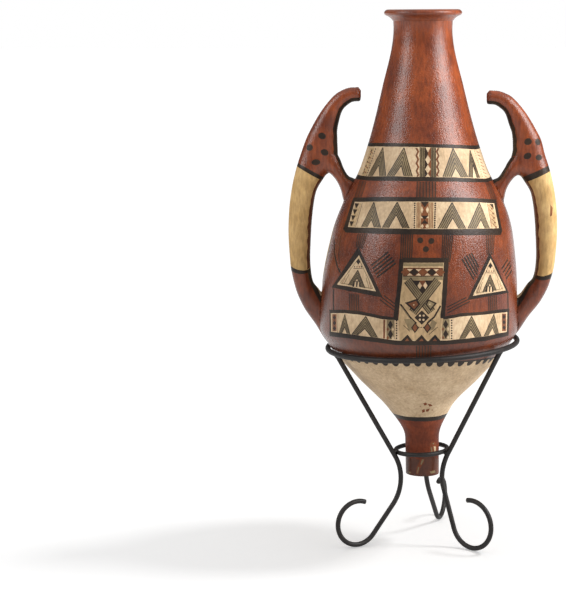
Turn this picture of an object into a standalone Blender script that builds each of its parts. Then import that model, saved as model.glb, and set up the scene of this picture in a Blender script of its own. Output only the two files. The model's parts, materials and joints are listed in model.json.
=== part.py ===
"""Two-handled earthenware water jar in a wrought-iron stand.

Run with: blender --background --python part.py
Units are metres, +Z is up, -Y is the painted front, and the origin is on the floor.
"""
import math

import bmesh
import bpy
import numpy as np
from mathutils import Vector

# Gap that pieces keep where they touch.
TOUCH_GAP = 0.0003

# Jar: lengths of its sections, from the foot up, and the outer radius where each one ends.
FOOT_RADIUS = 0.0235
FOOT_HEIGHT = 0.052
FOOT_TOP_RADIUS = 0.0240
FLARE_HEIGHT = 0.043
FLARE_RADIUS = 0.0444
CONE_HEIGHT = 0.095
CONE_RADIUS = 0.1283
CONE_BULGE = 0.0020
KEEL_HEIGHT = 0.0235
KEEL_RADIUS = 0.1387
BELLY_HEIGHT = 0.0535
BELLY_RADIUS = 0.1365
CHEST_HEIGHT = 0.076
CHEST_RADIUS = 0.1255
SHOULDER_HEIGHT = 0.050
SHOULDER_RADIUS = 0.1085
NECK_BASE_HEIGHT = 0.042
NECK_BASE_RADIUS = 0.0871
NECK_LOWER_HEIGHT = 0.108
NECK_MIDDLE_RADIUS = 0.0564
NECK_UPPER_HEIGHT = 0.0815
NECK_TOP_RADIUS = 0.0404

# Rim: the flare above the neck, its rounded edge, the slope inside that and the flat lip top.
THROAT_HEIGHT = 0.0100
LIP_RISE = 0.0078
LIP_FLARE = 0.0125
LIP_EDGE = 0.0033
LIP_ROUND = 0.0044
LIP_SLOPE = 0.0050
LIP_FLAT = 0.0045

# Clay wall, and the clay left under the hollow.
WALL = 0.0080
BASE_THICKNESS = 0.0360

# Hand building left the centre line of the jar a little off: offsets to the right.
NECK_SWAY = -0.0015
SHOULDER_SWAY = 0.0005
BELLY_SWAY = -0.0045
CONE_SWAY = -0.0055
FOOT_SWAY = 0.0015

# Handles, as rows across the grip and its horn from inside the belly wall to the blunt tip:
# distance from the axis and height of the outer edge, the same of the inner edge, half depth.
GRIP_ROWS = [
    (0.116, 0.176, 0.124, 0.236, 0.0120),
    (0.1375, 0.190, 0.136, 0.250, 0.0165),
    (0.152, 0.213, 0.146, 0.264, 0.0150),
    (0.167, 0.238, 0.153, 0.273, 0.0145),
    (0.178, 0.264, 0.156, 0.288, 0.0140),
    (0.185, 0.298, 0.157, 0.307, 0.0140),
    (0.188, 0.346, 0.1555, 0.346, 0.0140),
    (0.187, 0.372, 0.1535, 0.370, 0.0140),
    (0.183, 0.402, 0.149, 0.398, 0.0145),
    (0.176, 0.433, 0.137, 0.420, 0.0145),
    (0.169, 0.455, 0.118, 0.444, 0.0140),
    (0.162, 0.474, 0.1185, 0.462, 0.0135),
    (0.153, 0.492, 0.119, 0.481, 0.0125),
    (0.143, 0.509, 0.1165, 0.498, 0.0115),
    (0.131, 0.525, 0.112, 0.512, 0.0105),
    (0.117, 0.538, 0.106, 0.519, 0.0100),
    (0.100, 0.5445, 0.096, 0.5245, 0.0095),
    (0.088, 0.5445, 0.0865, 0.5255, 0.0090),
    (0.0865, 0.542, 0.0855, 0.528, 0.0070),
]
# The bridge from the shoulder to the horn, as rows of its upper and its lower edge.
BRIDGE_ROWS = [
    (0.082, 0.410, 0.090, 0.372, 0.0150),
    (0.095, 0.4175, 0.110, 0.389, 0.0150),
    (0.103, 0.4215, 0.1145, 0.403, 0.0140),
    (0.110, 0.432, 0.121, 0.416, 0.0140),
    (0.1155, 0.446, 0.130, 0.4255, 0.0140),
    (0.124, 0.460, 0.142, 0.431, 0.0120),
]
GRIP_MIDDLE_HEIGHT = 0.347
HORN_MIDDLE_HEIGHT = 0.465
HORN_REACH = 0.040

# The left handle is as in the rows. The right one came out shorter, with a slimmer horn and grip.
HANDLES = {
    "left": {"side": -1.0, "upper_stretch": 1.0, "lower_stretch": 1.0, "horn_trim": 0.0,
             "grip_trim": 0.0},
    "right": {"side": 1.0, "upper_stretch": 0.975, "lower_stretch": 0.90, "horn_trim": 0.0045,
              "grip_trim": 0.0020},
}

# Stand: round iron rods, two rings that lean a little to the left, three legs.
UPPER_ROD_RADIUS = 0.00375
LOWER_ROD_RADIUS = 0.00325
LEG_ROD_RADIUS = 0.00350
UPPER_RING_RADIUS = 0.1325
UPPER_RING_HEIGHT = 0.2820
LOWER_RING_HEIGHT = 0.1300
LOWER_RING_CLEARANCE = 0.0095
RING_LEAN_DEG = 2.8
LEG_BEND_RADIUS = 0.060
LEG_FOOT_CLEARANCE = 0.0035
FLAT_DEPTH = 0.0004

# Each hand-bent leg: its bearings at the upper ring, at the bend and at the foot, how much wider
# than the others its bend is, how far out its foot stands, and the size and end of its scroll.
# A bearing is in degrees from the front, positive to the right.
LEGS = {
    "leg_left": {"top": -62.5, "bend": -64.0, "foot": -60.0, "slack": 0.0,
                 "reach": 0.102, "scroll": 0.0312, "tip_deg": 112.0},
    "leg_right": {"top": 54.0, "bend": 62.0, "foot": 50.0, "slack": 0.004,
                  "reach": 0.092, "scroll": 0.0338, "tip_deg": 104.0},
    "leg_back": {"top": 174.0, "bend": 172.0, "foot": 165.0, "slack": 0.0,
                 "reach": 0.108, "scroll": 0.0285, "tip_deg": 112.0},
}

# Fineness of the solids.
BODY_SEGMENTS = 44
HOLLOW_SEGMENTS = 28
HANDLE_SECTIONS = 24
BRIDGE_SECTIONS = 8
HANDLE_SIDES = 14
RING_SEGMENTS = 44
SMALL_RING_SEGMENTS = 28
ROD_SIDES = 8
LEG_BEND_PIECES = 7
SCROLL_PIECES = 15
PROFILE_STEP = 0.017


def clear_scene():
    for thing in list(bpy.data.objects):
        bpy.data.objects.remove(thing, do_unlink=True)


def new_collection(name):
    collection = bpy.data.collections.new(name)
    bpy.context.scene.collection.children.link(collection)
    return collection


def make_material(name, colour, roughness, metallic):
    material = bpy.data.materials.new(name)
    material.use_nodes = True
    shader = material.node_tree.nodes["Principled BSDF"]
    shader.inputs["Base Color"].default_value = (*colour, 1.0)
    shader.inputs["Roughness"].default_value = roughness
    shader.inputs["Metallic"].default_value = metallic
    return material


def monotone_curve(stations):
    """Returns a smooth function through the stations that never overshoots them."""
    xs = np.array([station[0] for station in stations])
    ys = np.array([station[1] for station in stations])
    steps = np.diff(xs)
    slopes = np.diff(ys) / steps
    tangents = np.zeros(len(xs))
    tangents[0] = slopes[0]
    tangents[-1] = slopes[-1]
    for index in range(1, len(xs) - 1):
        before = slopes[index - 1]
        after = slopes[index]
        if before * after > 0.0:
            tangents[index] = 2.0 * before * after / (before + after)

    def value(x):
        place = min(max(x, xs[0]), xs[-1])
        index = min(int(np.searchsorted(xs, place, side="right")) - 1, len(steps) - 1)
        t = (place - xs[index]) / steps[index]
        rise = ys[index + 1] - ys[index]
        pull = tangents[index] * steps[index]
        push = tangents[index + 1] * steps[index]
        ease = t * t * (3.0 - 2.0 * t)
        curve = ys[index] + rise * ease
        curve += pull * t * (1.0 - t) ** 2 - push * t * t * (1.0 - t)
        return float(curve)

    return value


def stack_heights(lengths):
    return [0.0] + [float(height) for height in np.cumsum(lengths)]


def jar_stations():
    """Heights above the foot and outer radii, up to the throat below the rim."""
    half_cone = CONE_HEIGHT / 2.0
    heights = stack_heights([FOOT_HEIGHT, FLARE_HEIGHT, half_cone, half_cone, KEEL_HEIGHT,
                             BELLY_HEIGHT, CHEST_HEIGHT, SHOULDER_HEIGHT, NECK_BASE_HEIGHT,
                             NECK_LOWER_HEIGHT, NECK_UPPER_HEIGHT, THROAT_HEIGHT])
    cone_middle = (FLARE_RADIUS + CONE_RADIUS) / 2.0 + CONE_BULGE
    throat_radius = NECK_TOP_RADIUS + 0.0005
    radii = [FOOT_RADIUS, FOOT_TOP_RADIUS, FLARE_RADIUS, cone_middle, CONE_RADIUS, KEEL_RADIUS,
             BELLY_RADIUS, CHEST_RADIUS, SHOULDER_RADIUS, NECK_BASE_RADIUS,
             NECK_MIDDLE_RADIUS, NECK_TOP_RADIUS, throat_radius]
    return list(zip(heights, radii))


STATIONS = jar_stations()
OUTER_RADIUS = monotone_curve(STATIONS)
THROAT_TOP = STATIONS[-1][0]
CONE_TOP = STATIONS[4][0]
BELLY_TOP = STATIONS[6][0]
SHOULDER_TOP = STATIONS[8][0]
NECK_TOP = STATIONS[11][0]
JAR_HEIGHT = THROAT_TOP + LIP_RISE + LIP_EDGE + LIP_ROUND
LIP_RADIUS = STATIONS[-1][1] + LIP_FLARE
SWAY = monotone_curve([(0.0, FOOT_SWAY), (FOOT_HEIGHT, FOOT_SWAY / 2.0),
                       (CONE_TOP / 2.0 + FOOT_HEIGHT / 2.0, CONE_SWAY), (CONE_TOP, CONE_SWAY),
                       (BELLY_TOP, BELLY_SWAY), (SHOULDER_TOP, SHOULDER_SWAY),
                       (NECK_TOP, NECK_SWAY), (JAR_HEIGHT, NECK_SWAY)])


def outer_profile():
    """Outer outline from the middle of the closed top down to the foot, as (radius, height)."""
    lip_under = LIP_RADIUS - LIP_EDGE * 0.4
    lip = [(0.0, JAR_HEIGHT), (LIP_RADIUS - LIP_SLOPE, JAR_HEIGHT),
           (LIP_RADIUS - LIP_SLOPE * 0.25, JAR_HEIGHT - LIP_ROUND * 0.4),
           (LIP_RADIUS, JAR_HEIGHT - LIP_ROUND), (lip_under, JAR_HEIGHT - LIP_ROUND - LIP_EDGE)]
    throat_radius = STATIONS[-1][1]
    flare = []
    for share in (0.66, 0.33):
        radius = throat_radius + (lip_under - throat_radius) * share ** 1.5
        flare.append((radius, THROAT_TOP + LIP_RISE * share))
    wall = []
    for lower, upper in zip(STATIONS[:-1], STATIONS[1:]):
        length = upper[0] - lower[0]
        pieces = max(1 if length < PROFILE_STEP else 2, round(length / PROFILE_STEP))
        wall.append([(OUTER_RADIUS(lower[0] + length * k / pieces), lower[0] + length * k / pieces)
                     for k in range(pieces)])
    points = [point for section in wall for point in section]
    points.append((throat_radius, THROAT_TOP))
    return lip + flare + points[::-1] + [(0.0, 0.0)]


def inner_wall():
    """The hollow's outline from the mouth down, offset square to the outer wall."""
    bottom = BASE_THICKNESS + FOOT_HEIGHT
    count = max(12, round((THROAT_TOP - bottom) / (2.0 * PROFILE_STEP)))
    small = 0.0005
    points = []
    for k in range(count + 1):
        height = THROAT_TOP + (bottom - THROAT_TOP) * k / count
        slope = (OUTER_RADIUS(height + small) - OUTER_RADIUS(height - small)) / (2.0 * small)
        stretch = math.hypot(1.0, slope)
        points.append((OUTER_RADIUS(height) - WALL / stretch, height + WALL * slope / stretch))
    return points


def hollow_profile():
    """The hollow with the mouth it opens through, from above the rim down to its floor."""
    mouth_radius = LIP_RADIUS - LIP_SLOPE - LIP_FLAT
    throat_radius = NECK_TOP_RADIUS - WALL
    above = 0.02
    mouth = [(0.0, JAR_HEIGHT + above), (mouth_radius, JAR_HEIGHT + above)]
    for share in (1.0, 0.75, 0.5, 0.25, 0.0):
        radius = throat_radius + (mouth_radius - throat_radius) * share ** 1.6
        mouth.append((radius, NECK_TOP + (JAR_HEIGHT - NECK_TOP) * share))
    wall = [point for point in inner_wall() if point[1] < NECK_TOP - PROFILE_STEP / 2.0]
    last_radius, last_height = wall[-1]
    depth = last_radius * 0.45
    floor = []
    for turn in (30, 60):
        angle = math.radians(turn)
        floor.append((last_radius * math.cos(angle), last_height - depth * math.sin(angle)))
    floor.append((0.0, last_height - depth))
    return mouth + wall + floor


def spin_profile(name, profile, segments):
    """A turned solid: the profile runs down its outer side and a Screw turns it."""
    mesh = bpy.data.meshes.new(name)
    builder = bmesh.new()
    corners = [builder.verts.new((radius, 0.0, height)) for radius, height in profile]
    for upper, lower in zip(corners[:-1], corners[1:]):
        builder.edges.new((upper, lower))
    builder.to_mesh(mesh)
    builder.free()
    turned = bpy.data.objects.new(name, mesh)
    bpy.context.scene.collection.objects.link(turned)
    screw = turned.modifiers.new("Turn", "SCREW")
    screw.steps = segments
    screw.render_steps = segments
    screw.use_merge_vertices = True
    screw.merge_threshold = 0.0001
    screw.use_smooth_shade = True
    return turned


def frozen_mesh(thing):
    """The evaluated object as a plain mesh object in the same place, with its doubles merged."""
    bpy.context.view_layer.update()
    graph = bpy.context.evaluated_depsgraph_get()
    mesh = bpy.data.meshes.new_from_object(thing.evaluated_get(graph))
    builder = bmesh.new()
    builder.from_mesh(mesh)
    bmesh.ops.remove_doubles(builder, verts=builder.verts, dist=0.00002)
    builder.to_mesh(mesh)
    builder.free()
    plain = bpy.data.objects.new("plain_mesh", mesh)
    plain.matrix_world = thing.matrix_world.copy()
    bpy.context.scene.collection.objects.link(plain)
    name = thing.name
    bpy.data.objects.remove(thing, do_unlink=True)
    plain.name = name
    return plain


def sway_mesh(thing):
    for vertex in thing.data.vertices:
        vertex.co.x += SWAY(vertex.co.z)


def smooth_rows(rows, count):
    """Rows of numbers read again at even steps along a smooth curve through them."""
    table = np.array(rows, dtype=float)
    middles = (table[:, 0:2] + table[:, 2:4]) / 2.0
    travel = np.concatenate(([0.0], np.cumsum(np.linalg.norm(np.diff(middles, axis=0), axis=1))))
    columns = [monotone_curve(list(zip(travel, table[:, column]))) for column in range(table.shape[1])]
    return [[column(travel[-1] * k / (count - 1)) for column in columns] for k in range(count)]


def loft_bar(name, rows, side):
    """An oval bar through rows of two edge points and a half depth, in the plane of the handles."""
    builder = bmesh.new()
    rings = []
    for outer_x, outer_z, inner_x, inner_z, half_depth in rows:
        middle = Vector(((outer_x + inner_x) / 2.0, 0.0, (outer_z + inner_z) / 2.0))
        across = Vector(((outer_x - inner_x) / 2.0, 0.0, (outer_z - inner_z) / 2.0))
        ring = []
        for k in range(HANDLE_SIDES):
            turn = math.tau * k / HANDLE_SIDES
            point = middle + across * math.cos(turn)
            point.y = half_depth * math.sin(turn)
            ring.append(builder.verts.new((point.x * side, point.y, point.z)))
        rings.append(ring)
    for first, second in zip(rings[:-1], rings[1:]):
        for k in range(HANDLE_SIDES):
            after = (k + 1) % HANDLE_SIDES
            builder.faces.new((first[k], first[after], second[after], second[k]))
    builder.faces.new(rings[0])
    builder.faces.new(rings[-1])
    bmesh.ops.recalc_face_normals(builder, faces=builder.faces)
    mesh = bpy.data.meshes.new(name)
    builder.to_mesh(mesh)
    builder.free()
    bar = bpy.data.objects.new(name, mesh)
    bpy.context.scene.collection.objects.link(bar)
    return bar


def stretched(height, shape):
    above = height - GRIP_MIDDLE_HEIGHT
    return GRIP_MIDDLE_HEIGHT + above * shape["upper_stretch" if above > 0.0 else "lower_stretch"]


def horn_trim(height, shape):
    """How far this handle's horn is cut back on its inner edge at this height."""
    nearness = max(0.0, 1.0 - abs(height - HORN_MIDDLE_HEIGHT) / HORN_REACH)
    return shape["horn_trim"] * nearness * nearness * (3.0 - 2.0 * nearness)


def grip_rows(shape):
    rows = []
    for outer_x, outer_z, inner_x, inner_z, depth in GRIP_ROWS:
        trim = shape["grip_trim"] if outer_z < HORN_MIDDLE_HEIGHT else 0.0
        rows.append((outer_x - trim, stretched(outer_z, shape),
                     inner_x + horn_trim(inner_z, shape), stretched(inner_z, shape), depth))
    return rows


def bridge_rows(shape):
    rows = []
    for upper_x, upper_z, lower_x, lower_z, depth in BRIDGE_ROWS:
        rows.append((upper_x + horn_trim(upper_z, shape), stretched(upper_z, shape), lower_x,
                     stretched(lower_z, shape), depth))
    return rows


def combine(target, other, operation, cutters):
    """Adds a live Boolean to the target and puts the other object with the cutters."""
    boolean = target.modifiers.new(operation.title(), "BOOLEAN")
    boolean.operation = operation
    boolean.solver = "EXACT"
    boolean.object = other
    for home in list(other.users_collection):
        home.objects.unlink(other)
    cutters.objects.link(other)
    other.hide_render = True
    other.display_type = "WIRE"


def build_jar(cutters):
    jar = frozen_mesh(spin_profile("jar", outer_profile(), BODY_SEGMENTS))
    sway_mesh(jar)
    for label, shape in HANDLES.items():
        side = shape["side"]
        bar = loft_bar("handle_bar_" + label, smooth_rows(grip_rows(shape), HANDLE_SECTIONS), side)
        bridge = loft_bar("handle_bridge_" + label, smooth_rows(bridge_rows(shape), BRIDGE_SECTIONS),
                          side)
        combine(jar, bar, "UNION", cutters)
        combine(jar, bridge, "UNION", cutters)
    hollow = frozen_mesh(spin_profile("hollow", hollow_profile(), HOLLOW_SEGMENTS))
    sway_mesh(hollow)
    combine(jar, hollow, "DIFFERENCE", cutters)
    return jar


def lean_rise(x):
    """How much higher a ring is at this distance to the right of the axis."""
    return x * math.tan(math.radians(RING_LEAN_DEG))


def seat_height():
    """Height above the jar's foot at which the upper ring stands clear of the cone by the gap."""
    reach = UPPER_ROD_RADIUS + TOUCH_GAP + 0.0004
    side_play = UPPER_RING_RADIUS * (1.0 - math.cos(math.radians(RING_LEAN_DEG)))
    tilt = lean_rise(UPPER_RING_RADIUS)
    lowest = None
    for k in range(2000):
        height = FOOT_HEIGHT + FLARE_HEIGHT + k * 0.0001
        clear = True
        for x_side in (-1.0, 0.0, 1.0):
            ring_z = height + tilt * x_side
            ring_x = UPPER_RING_RADIUS - side_play
            for turn in range(0, 181, 6):
                angle = math.radians(turn)
                z = ring_z + reach * math.sin(angle - math.pi / 2.0)
                x = ring_x - reach * abs(math.cos(angle - math.pi / 2.0))
                if OUTER_RADIUS(z) + SWAY(z) * x_side > x:
                    clear = False
        if not clear:
            break
        lowest = height
    return lowest


def make_ring(name, radius, rod_radius, segments, height):
    bpy.ops.mesh.primitive_torus_add(major_segments=segments, minor_segments=ROD_SIDES,
                                     major_radius=radius, minor_radius=rod_radius)
    ring = bpy.context.active_object
    ring.name = name
    ring.data.name = name
    ring.location = (0.0, 0.0, height)
    ring.rotation_euler = (0.0, -math.radians(RING_LEAN_DEG), 0.0)
    return ring


def arc_points(centre, radius, start, finish, pieces):
    """Points on a circle in the plane of a leg, from one angle to the other."""
    points = []
    for k in range(pieces + 1):
        angle = start + (finish - start) * k / pieces
        points.append((centre[0] + radius * math.cos(angle), centre[1] + radius * math.sin(angle)))
    return points


def leg_plane_route(shape, contact_radius):
    """Centre line of a leg as (distance from the axis, height): straight, bend, straight, scroll."""
    lean_top = lean_rise(UPPER_RING_RADIUS * math.sin(math.radians(shape["top"])))
    lean_low = lean_rise(contact_radius * math.sin(math.radians(shape["bend"])))
    ring = np.array((UPPER_RING_RADIUS, UPPER_RING_HEIGHT + lean_top))
    contact = np.array((contact_radius, LOWER_RING_HEIGHT + lean_low))
    heading = (contact - ring) / np.linalg.norm(contact - ring)
    outward = np.array((-heading[1], heading[0]))
    top = ring + heading * (UPPER_ROD_RADIUS + 2.0 * TOUCH_GAP)
    waist = max(FOOT_RADIUS, FOOT_TOP_RADIUS) + abs(FOOT_SWAY) + LEG_FOOT_CLEARANCE + LEG_ROD_RADIUS
    bend_x = waist + shape["slack"] + LEG_BEND_RADIUS
    along = (bend_x - contact[0] - outward[0] * LEG_BEND_RADIUS) / heading[0]
    bend = contact + heading * along + outward * LEG_BEND_RADIUS
    scroll_radius = shape["scroll"]
    scroll = np.array((shape["reach"], scroll_radius + LEG_ROD_RADIUS - FLAT_DEPTH))
    gap = scroll - bend
    turn = math.atan2(gap[1], gap[0]) - math.asin((scroll_radius - LEG_BEND_RADIUS) / np.linalg.norm(gap))
    first = math.atan2(-outward[1], -outward[0]) % math.tau
    second = (turn - math.pi / 2.0) % math.tau
    bottom = math.radians(270.0)
    half_step = math.radians(7.0)
    third = math.radians(360.0 + shape["tip_deg"])
    upper_arc = arc_points(bend, LEG_BEND_RADIUS, first, second, LEG_BEND_PIECES)
    lower_arc = arc_points(scroll, scroll_radius, second, bottom - half_step, 4)
    rest = arc_points(scroll, scroll_radius, bottom + half_step, third, SCROLL_PIECES)
    return [tuple(top)], upper_arc, lower_arc + rest


def leg_route(shape, contact_radius):
    """The leg's centre line in space: the bend also turns it from one bearing to the next."""
    straight, upper_arc, scroll = leg_plane_route(shape, contact_radius)
    bearings = [shape["top"]]
    for k in range(len(upper_arc)):
        share = k / (len(upper_arc) - 1)
        ease = share * share * (3.0 - 2.0 * share)
        bearings.append(shape["bend"] + (shape["foot"] - shape["bend"]) * ease)
    bearings += [shape["foot"]] * len(scroll)
    route = []
    for (distance, height), bearing in zip(straight + upper_arc + scroll, bearings):
        angle = math.radians(bearing)
        route.append(Vector((distance * math.sin(angle), -distance * math.cos(angle), height)))
    return route


def lower_ring_shortfall(route, ring_radius):
    """How much too near the lower ring's rod the straight part and the bend of the leg pass."""
    needed = LEG_ROD_RADIUS + LOWER_ROD_RADIUS + TOUCH_GAP
    places = [route[0].lerp(route[1], 0.6 + 0.01 * k) for k in range(41)]
    for first, second in zip(route[1:LEG_BEND_PIECES], route[2:LEG_BEND_PIECES + 1]):
        places += [first.lerp(second, 0.1 * k) for k in range(11)]
    nearest = 1.0
    for turn in range(0, 360, 2):
        angle = math.radians(turn)
        x = ring_radius * math.sin(angle)
        rod = Vector((x, -ring_radius * math.cos(angle), LOWER_RING_HEIGHT + lean_rise(x)))
        nearest = min([nearest] + [(place - rod).length for place in places])
    return needed - nearest


def fitted_leg_route(shape, ring_radius):
    contact_radius = ring_radius + LEG_ROD_RADIUS + LOWER_ROD_RADIUS
    for _ in range(6):
        contact_radius += lower_ring_shortfall(leg_route(shape, contact_radius), ring_radius)
    return leg_route(shape, contact_radius)


def make_leg(name, shape, lower_ring_radius):
    route = fitted_leg_route(shape, lower_ring_radius)
    curve = bpy.data.curves.new(name, "CURVE")
    curve.dimensions = "3D"
    curve.bevel_depth = LEG_ROD_RADIUS
    curve.bevel_resolution = ROD_SIDES // 2 - 2
    curve.use_fill_caps = True
    spline = curve.splines.new("POLY")
    spline.points.add(len(route) - 1)
    for point, place in zip(spline.points, route):
        point.co = (*place, 1.0)
    leg = bpy.data.objects.new(name, curve)
    bpy.context.scene.collection.objects.link(leg)
    return frozen_mesh(leg)


def floor_cutter():
    """A slab below the floor that gives each scroll a small worn flat to stand on."""
    bpy.ops.mesh.primitive_cube_add(size=1.0)
    slab = bpy.context.active_object
    slab.name = "floor_cutter"
    width = 6.0 * UPPER_RING_RADIUS
    thickness = 0.05
    for vertex in slab.data.vertices:
        vertex.co.x *= width
        vertex.co.y *= width
        vertex.co.z = (vertex.co.z - 0.5) * thickness
    return slab


def finish_piece(piece, collection, material, parent):
    for home in list(piece.users_collection):
        home.objects.unlink(piece)
    collection.objects.link(piece)
    piece.data.materials.clear()
    piece.data.materials.append(material)
    piece.data.shade_smooth()
    piece.data.set_sharp_from_angle(angle=math.radians(40.0))
    piece.parent = parent


def centre_on_origin(pieces, parent):
    """Moves the whole object so that the middle of its footprint is at the origin."""
    bpy.context.view_layer.update()
    graph = bpy.context.evaluated_depsgraph_get()
    corners = []
    for piece in pieces:
        evaluated = piece.evaluated_get(graph)
        mesh = evaluated.to_mesh()
        corners.extend(evaluated.matrix_world @ vertex.co for vertex in mesh.vertices)
        evaluated.to_mesh_clear()
    low = [min(corner[axis] for corner in corners) for axis in range(3)]
    high = [max(corner[axis] for corner in corners) for axis in range(3)]
    parent.location = (-(low[0] + high[0]) / 2.0, -(low[1] + high[1]) / 2.0, -low[2])


def main():
    clear_scene()
    collection = new_collection("two_handled_jar_on_stand")
    cutters = new_collection("cutters")
    clay = make_material("red_slip_earthenware", (0.26, 0.055, 0.020), 0.32, 0.0)
    iron = make_material("blackened_wrought_iron", (0.020, 0.017, 0.015), 0.55, 0.9)
    base = bpy.data.objects.new("jar_and_stand", None)
    collection.objects.link(base)

    jar_foot_height = UPPER_RING_HEIGHT - seat_height()
    jar = build_jar(cutters)
    jar.location.z = jar_foot_height
    for thing in cutters.objects:
        thing.location.z = jar_foot_height
        thing.parent = base

    lower_on_jar = LOWER_RING_HEIGHT - jar_foot_height
    lower_ring_radius = OUTER_RADIUS(lower_on_jar) + LOWER_RING_CLEARANCE + LOWER_ROD_RADIUS
    upper_ring = make_ring("upper_ring", UPPER_RING_RADIUS, UPPER_ROD_RADIUS, RING_SEGMENTS,
                           UPPER_RING_HEIGHT)
    lower_ring = make_ring("lower_ring", lower_ring_radius, LOWER_ROD_RADIUS, SMALL_RING_SEGMENTS,
                           LOWER_RING_HEIGHT)
    slab = floor_cutter()
    legs = []
    for name, shape in LEGS.items():
        leg = make_leg(name, shape, lower_ring_radius)
        combine(leg, slab, "DIFFERENCE", cutters)
        legs.append(leg)
    slab.parent = base

    finish_piece(jar, collection, clay, base)
    for piece in [upper_ring, lower_ring] + legs:
        finish_piece(piece, collection, iron, base)
    centre_on_origin([jar, upper_ring, lower_ring] + legs, base)


main()
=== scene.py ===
# Painted water jar with two horned handles in its iron stand: the looks, built round the frame.
# Sizes in the settings are millimetres and degrees. Places in the painting are read in
# the photograph, in its own pixels, and each is thrown from the camera onto the clay.
import json
import math

import bmesh
import bpy
import numpy as np
from mathutils import Matrix, Vector, noise
from mathutils.geometry import delaunay_2d_cdt
from mathutils.kdtree import KDTree

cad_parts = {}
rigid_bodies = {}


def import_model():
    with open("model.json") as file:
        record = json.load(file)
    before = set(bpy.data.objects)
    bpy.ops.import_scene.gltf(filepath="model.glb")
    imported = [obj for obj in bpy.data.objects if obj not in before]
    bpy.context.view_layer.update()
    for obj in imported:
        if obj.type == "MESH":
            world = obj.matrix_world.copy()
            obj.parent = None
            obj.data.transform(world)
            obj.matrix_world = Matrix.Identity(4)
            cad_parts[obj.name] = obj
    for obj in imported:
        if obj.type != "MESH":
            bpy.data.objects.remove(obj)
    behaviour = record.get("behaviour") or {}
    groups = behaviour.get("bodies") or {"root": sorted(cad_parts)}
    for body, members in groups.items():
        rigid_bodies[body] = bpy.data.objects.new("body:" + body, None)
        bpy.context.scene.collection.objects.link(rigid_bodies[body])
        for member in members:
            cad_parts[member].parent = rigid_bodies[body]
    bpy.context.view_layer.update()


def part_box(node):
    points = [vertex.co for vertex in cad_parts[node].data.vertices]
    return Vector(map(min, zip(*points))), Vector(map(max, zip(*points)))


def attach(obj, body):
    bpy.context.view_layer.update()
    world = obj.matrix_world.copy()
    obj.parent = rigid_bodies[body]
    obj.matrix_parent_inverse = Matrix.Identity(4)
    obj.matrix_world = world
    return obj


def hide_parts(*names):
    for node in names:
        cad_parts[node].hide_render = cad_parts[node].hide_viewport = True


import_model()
mm = 0.001


cameraSettings = {"distance": 2602.85, "height": 738.1, "yaw": 4.30, "pitch": 8.62, "roll": 0.29,
                  "focalPixels": 1874.6, "widthPixels": 566, "heightPixels": 600, "sensor": 36.0}

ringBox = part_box("upper_ring")
axisX = (ringBox[0][0] + ringBox[1][0]) / 2
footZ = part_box("jar")[0][2]


def cameraAxes(settings):
    yaw = math.radians(settings["yaw"])
    pitch = math.radians(settings["pitch"])
    roll = math.radians(settings["roll"])
    ahead = Vector((-math.sin(yaw) * math.cos(pitch), math.cos(yaw) * math.cos(pitch), -math.sin(pitch)))
    level = Vector((math.cos(yaw), math.sin(yaw), 0.0))
    above = level.cross(ahead)
    right = level * math.cos(roll) - above * math.sin(roll)
    up = above * math.cos(roll) + level * math.sin(roll)
    return ahead, right, up


viewAhead, viewRight, viewUp = cameraAxes(cameraSettings)
viewPlace = Vector((axisX, -cameraSettings["distance"] * mm, cameraSettings["height"] * mm))


def makeCamera(settings):
    data = bpy.data.cameras.new("photoCamera")
    data.sensor_width = settings["sensor"]
    data.lens = settings["focalPixels"] / settings["heightPixels"] * settings["sensor"]
    data.clip_start = 0.05
    data.clip_end = 50.0
    camera = bpy.data.objects.new("photoCamera", data)
    bpy.context.scene.collection.objects.link(camera)
    turn = Matrix((viewRight, viewUp, -viewAhead)).transposed()
    camera.matrix_world = Matrix.Translation(viewPlace) @ turn.to_4x4()
    bpy.context.scene.camera = camera


def sightLine(px, py):
    across = (px - cameraSettings["widthPixels"] / 2) / cameraSettings["focalPixels"]
    above = (cameraSettings["heightPixels"] / 2 - py) / cameraSettings["focalPixels"]
    return (viewAhead + viewRight * across + viewUp * above).normalized()


makeCamera(cameraSettings)
print("camera ready")


def toLinear(code):
    values = [int(code[k:k + 2], 16) / 255 for k in (1, 3, 5)]
    return tuple(v / 12.92 if v <= 0.04045 else ((v + 0.055) / 1.055) ** 2.4 for v in values) + (1.0,)


def addNode(tree, kind, settings=None, links=None):
    node = tree.nodes.new(kind)
    for name, value in (settings or {}).items():
        if isinstance(name, int) or name in node.inputs:
            node.inputs[name].default_value = value
        else:
            setattr(node, name, value)
    for name, source in (links or {}).items():
        tree.links.new(source, node.inputs[name])
    return node


def newMaterial(name):
    material = bpy.data.materials.new(name)
    material.use_nodes = True
    material.node_tree.nodes.clear()
    return material, material.node_tree


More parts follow.
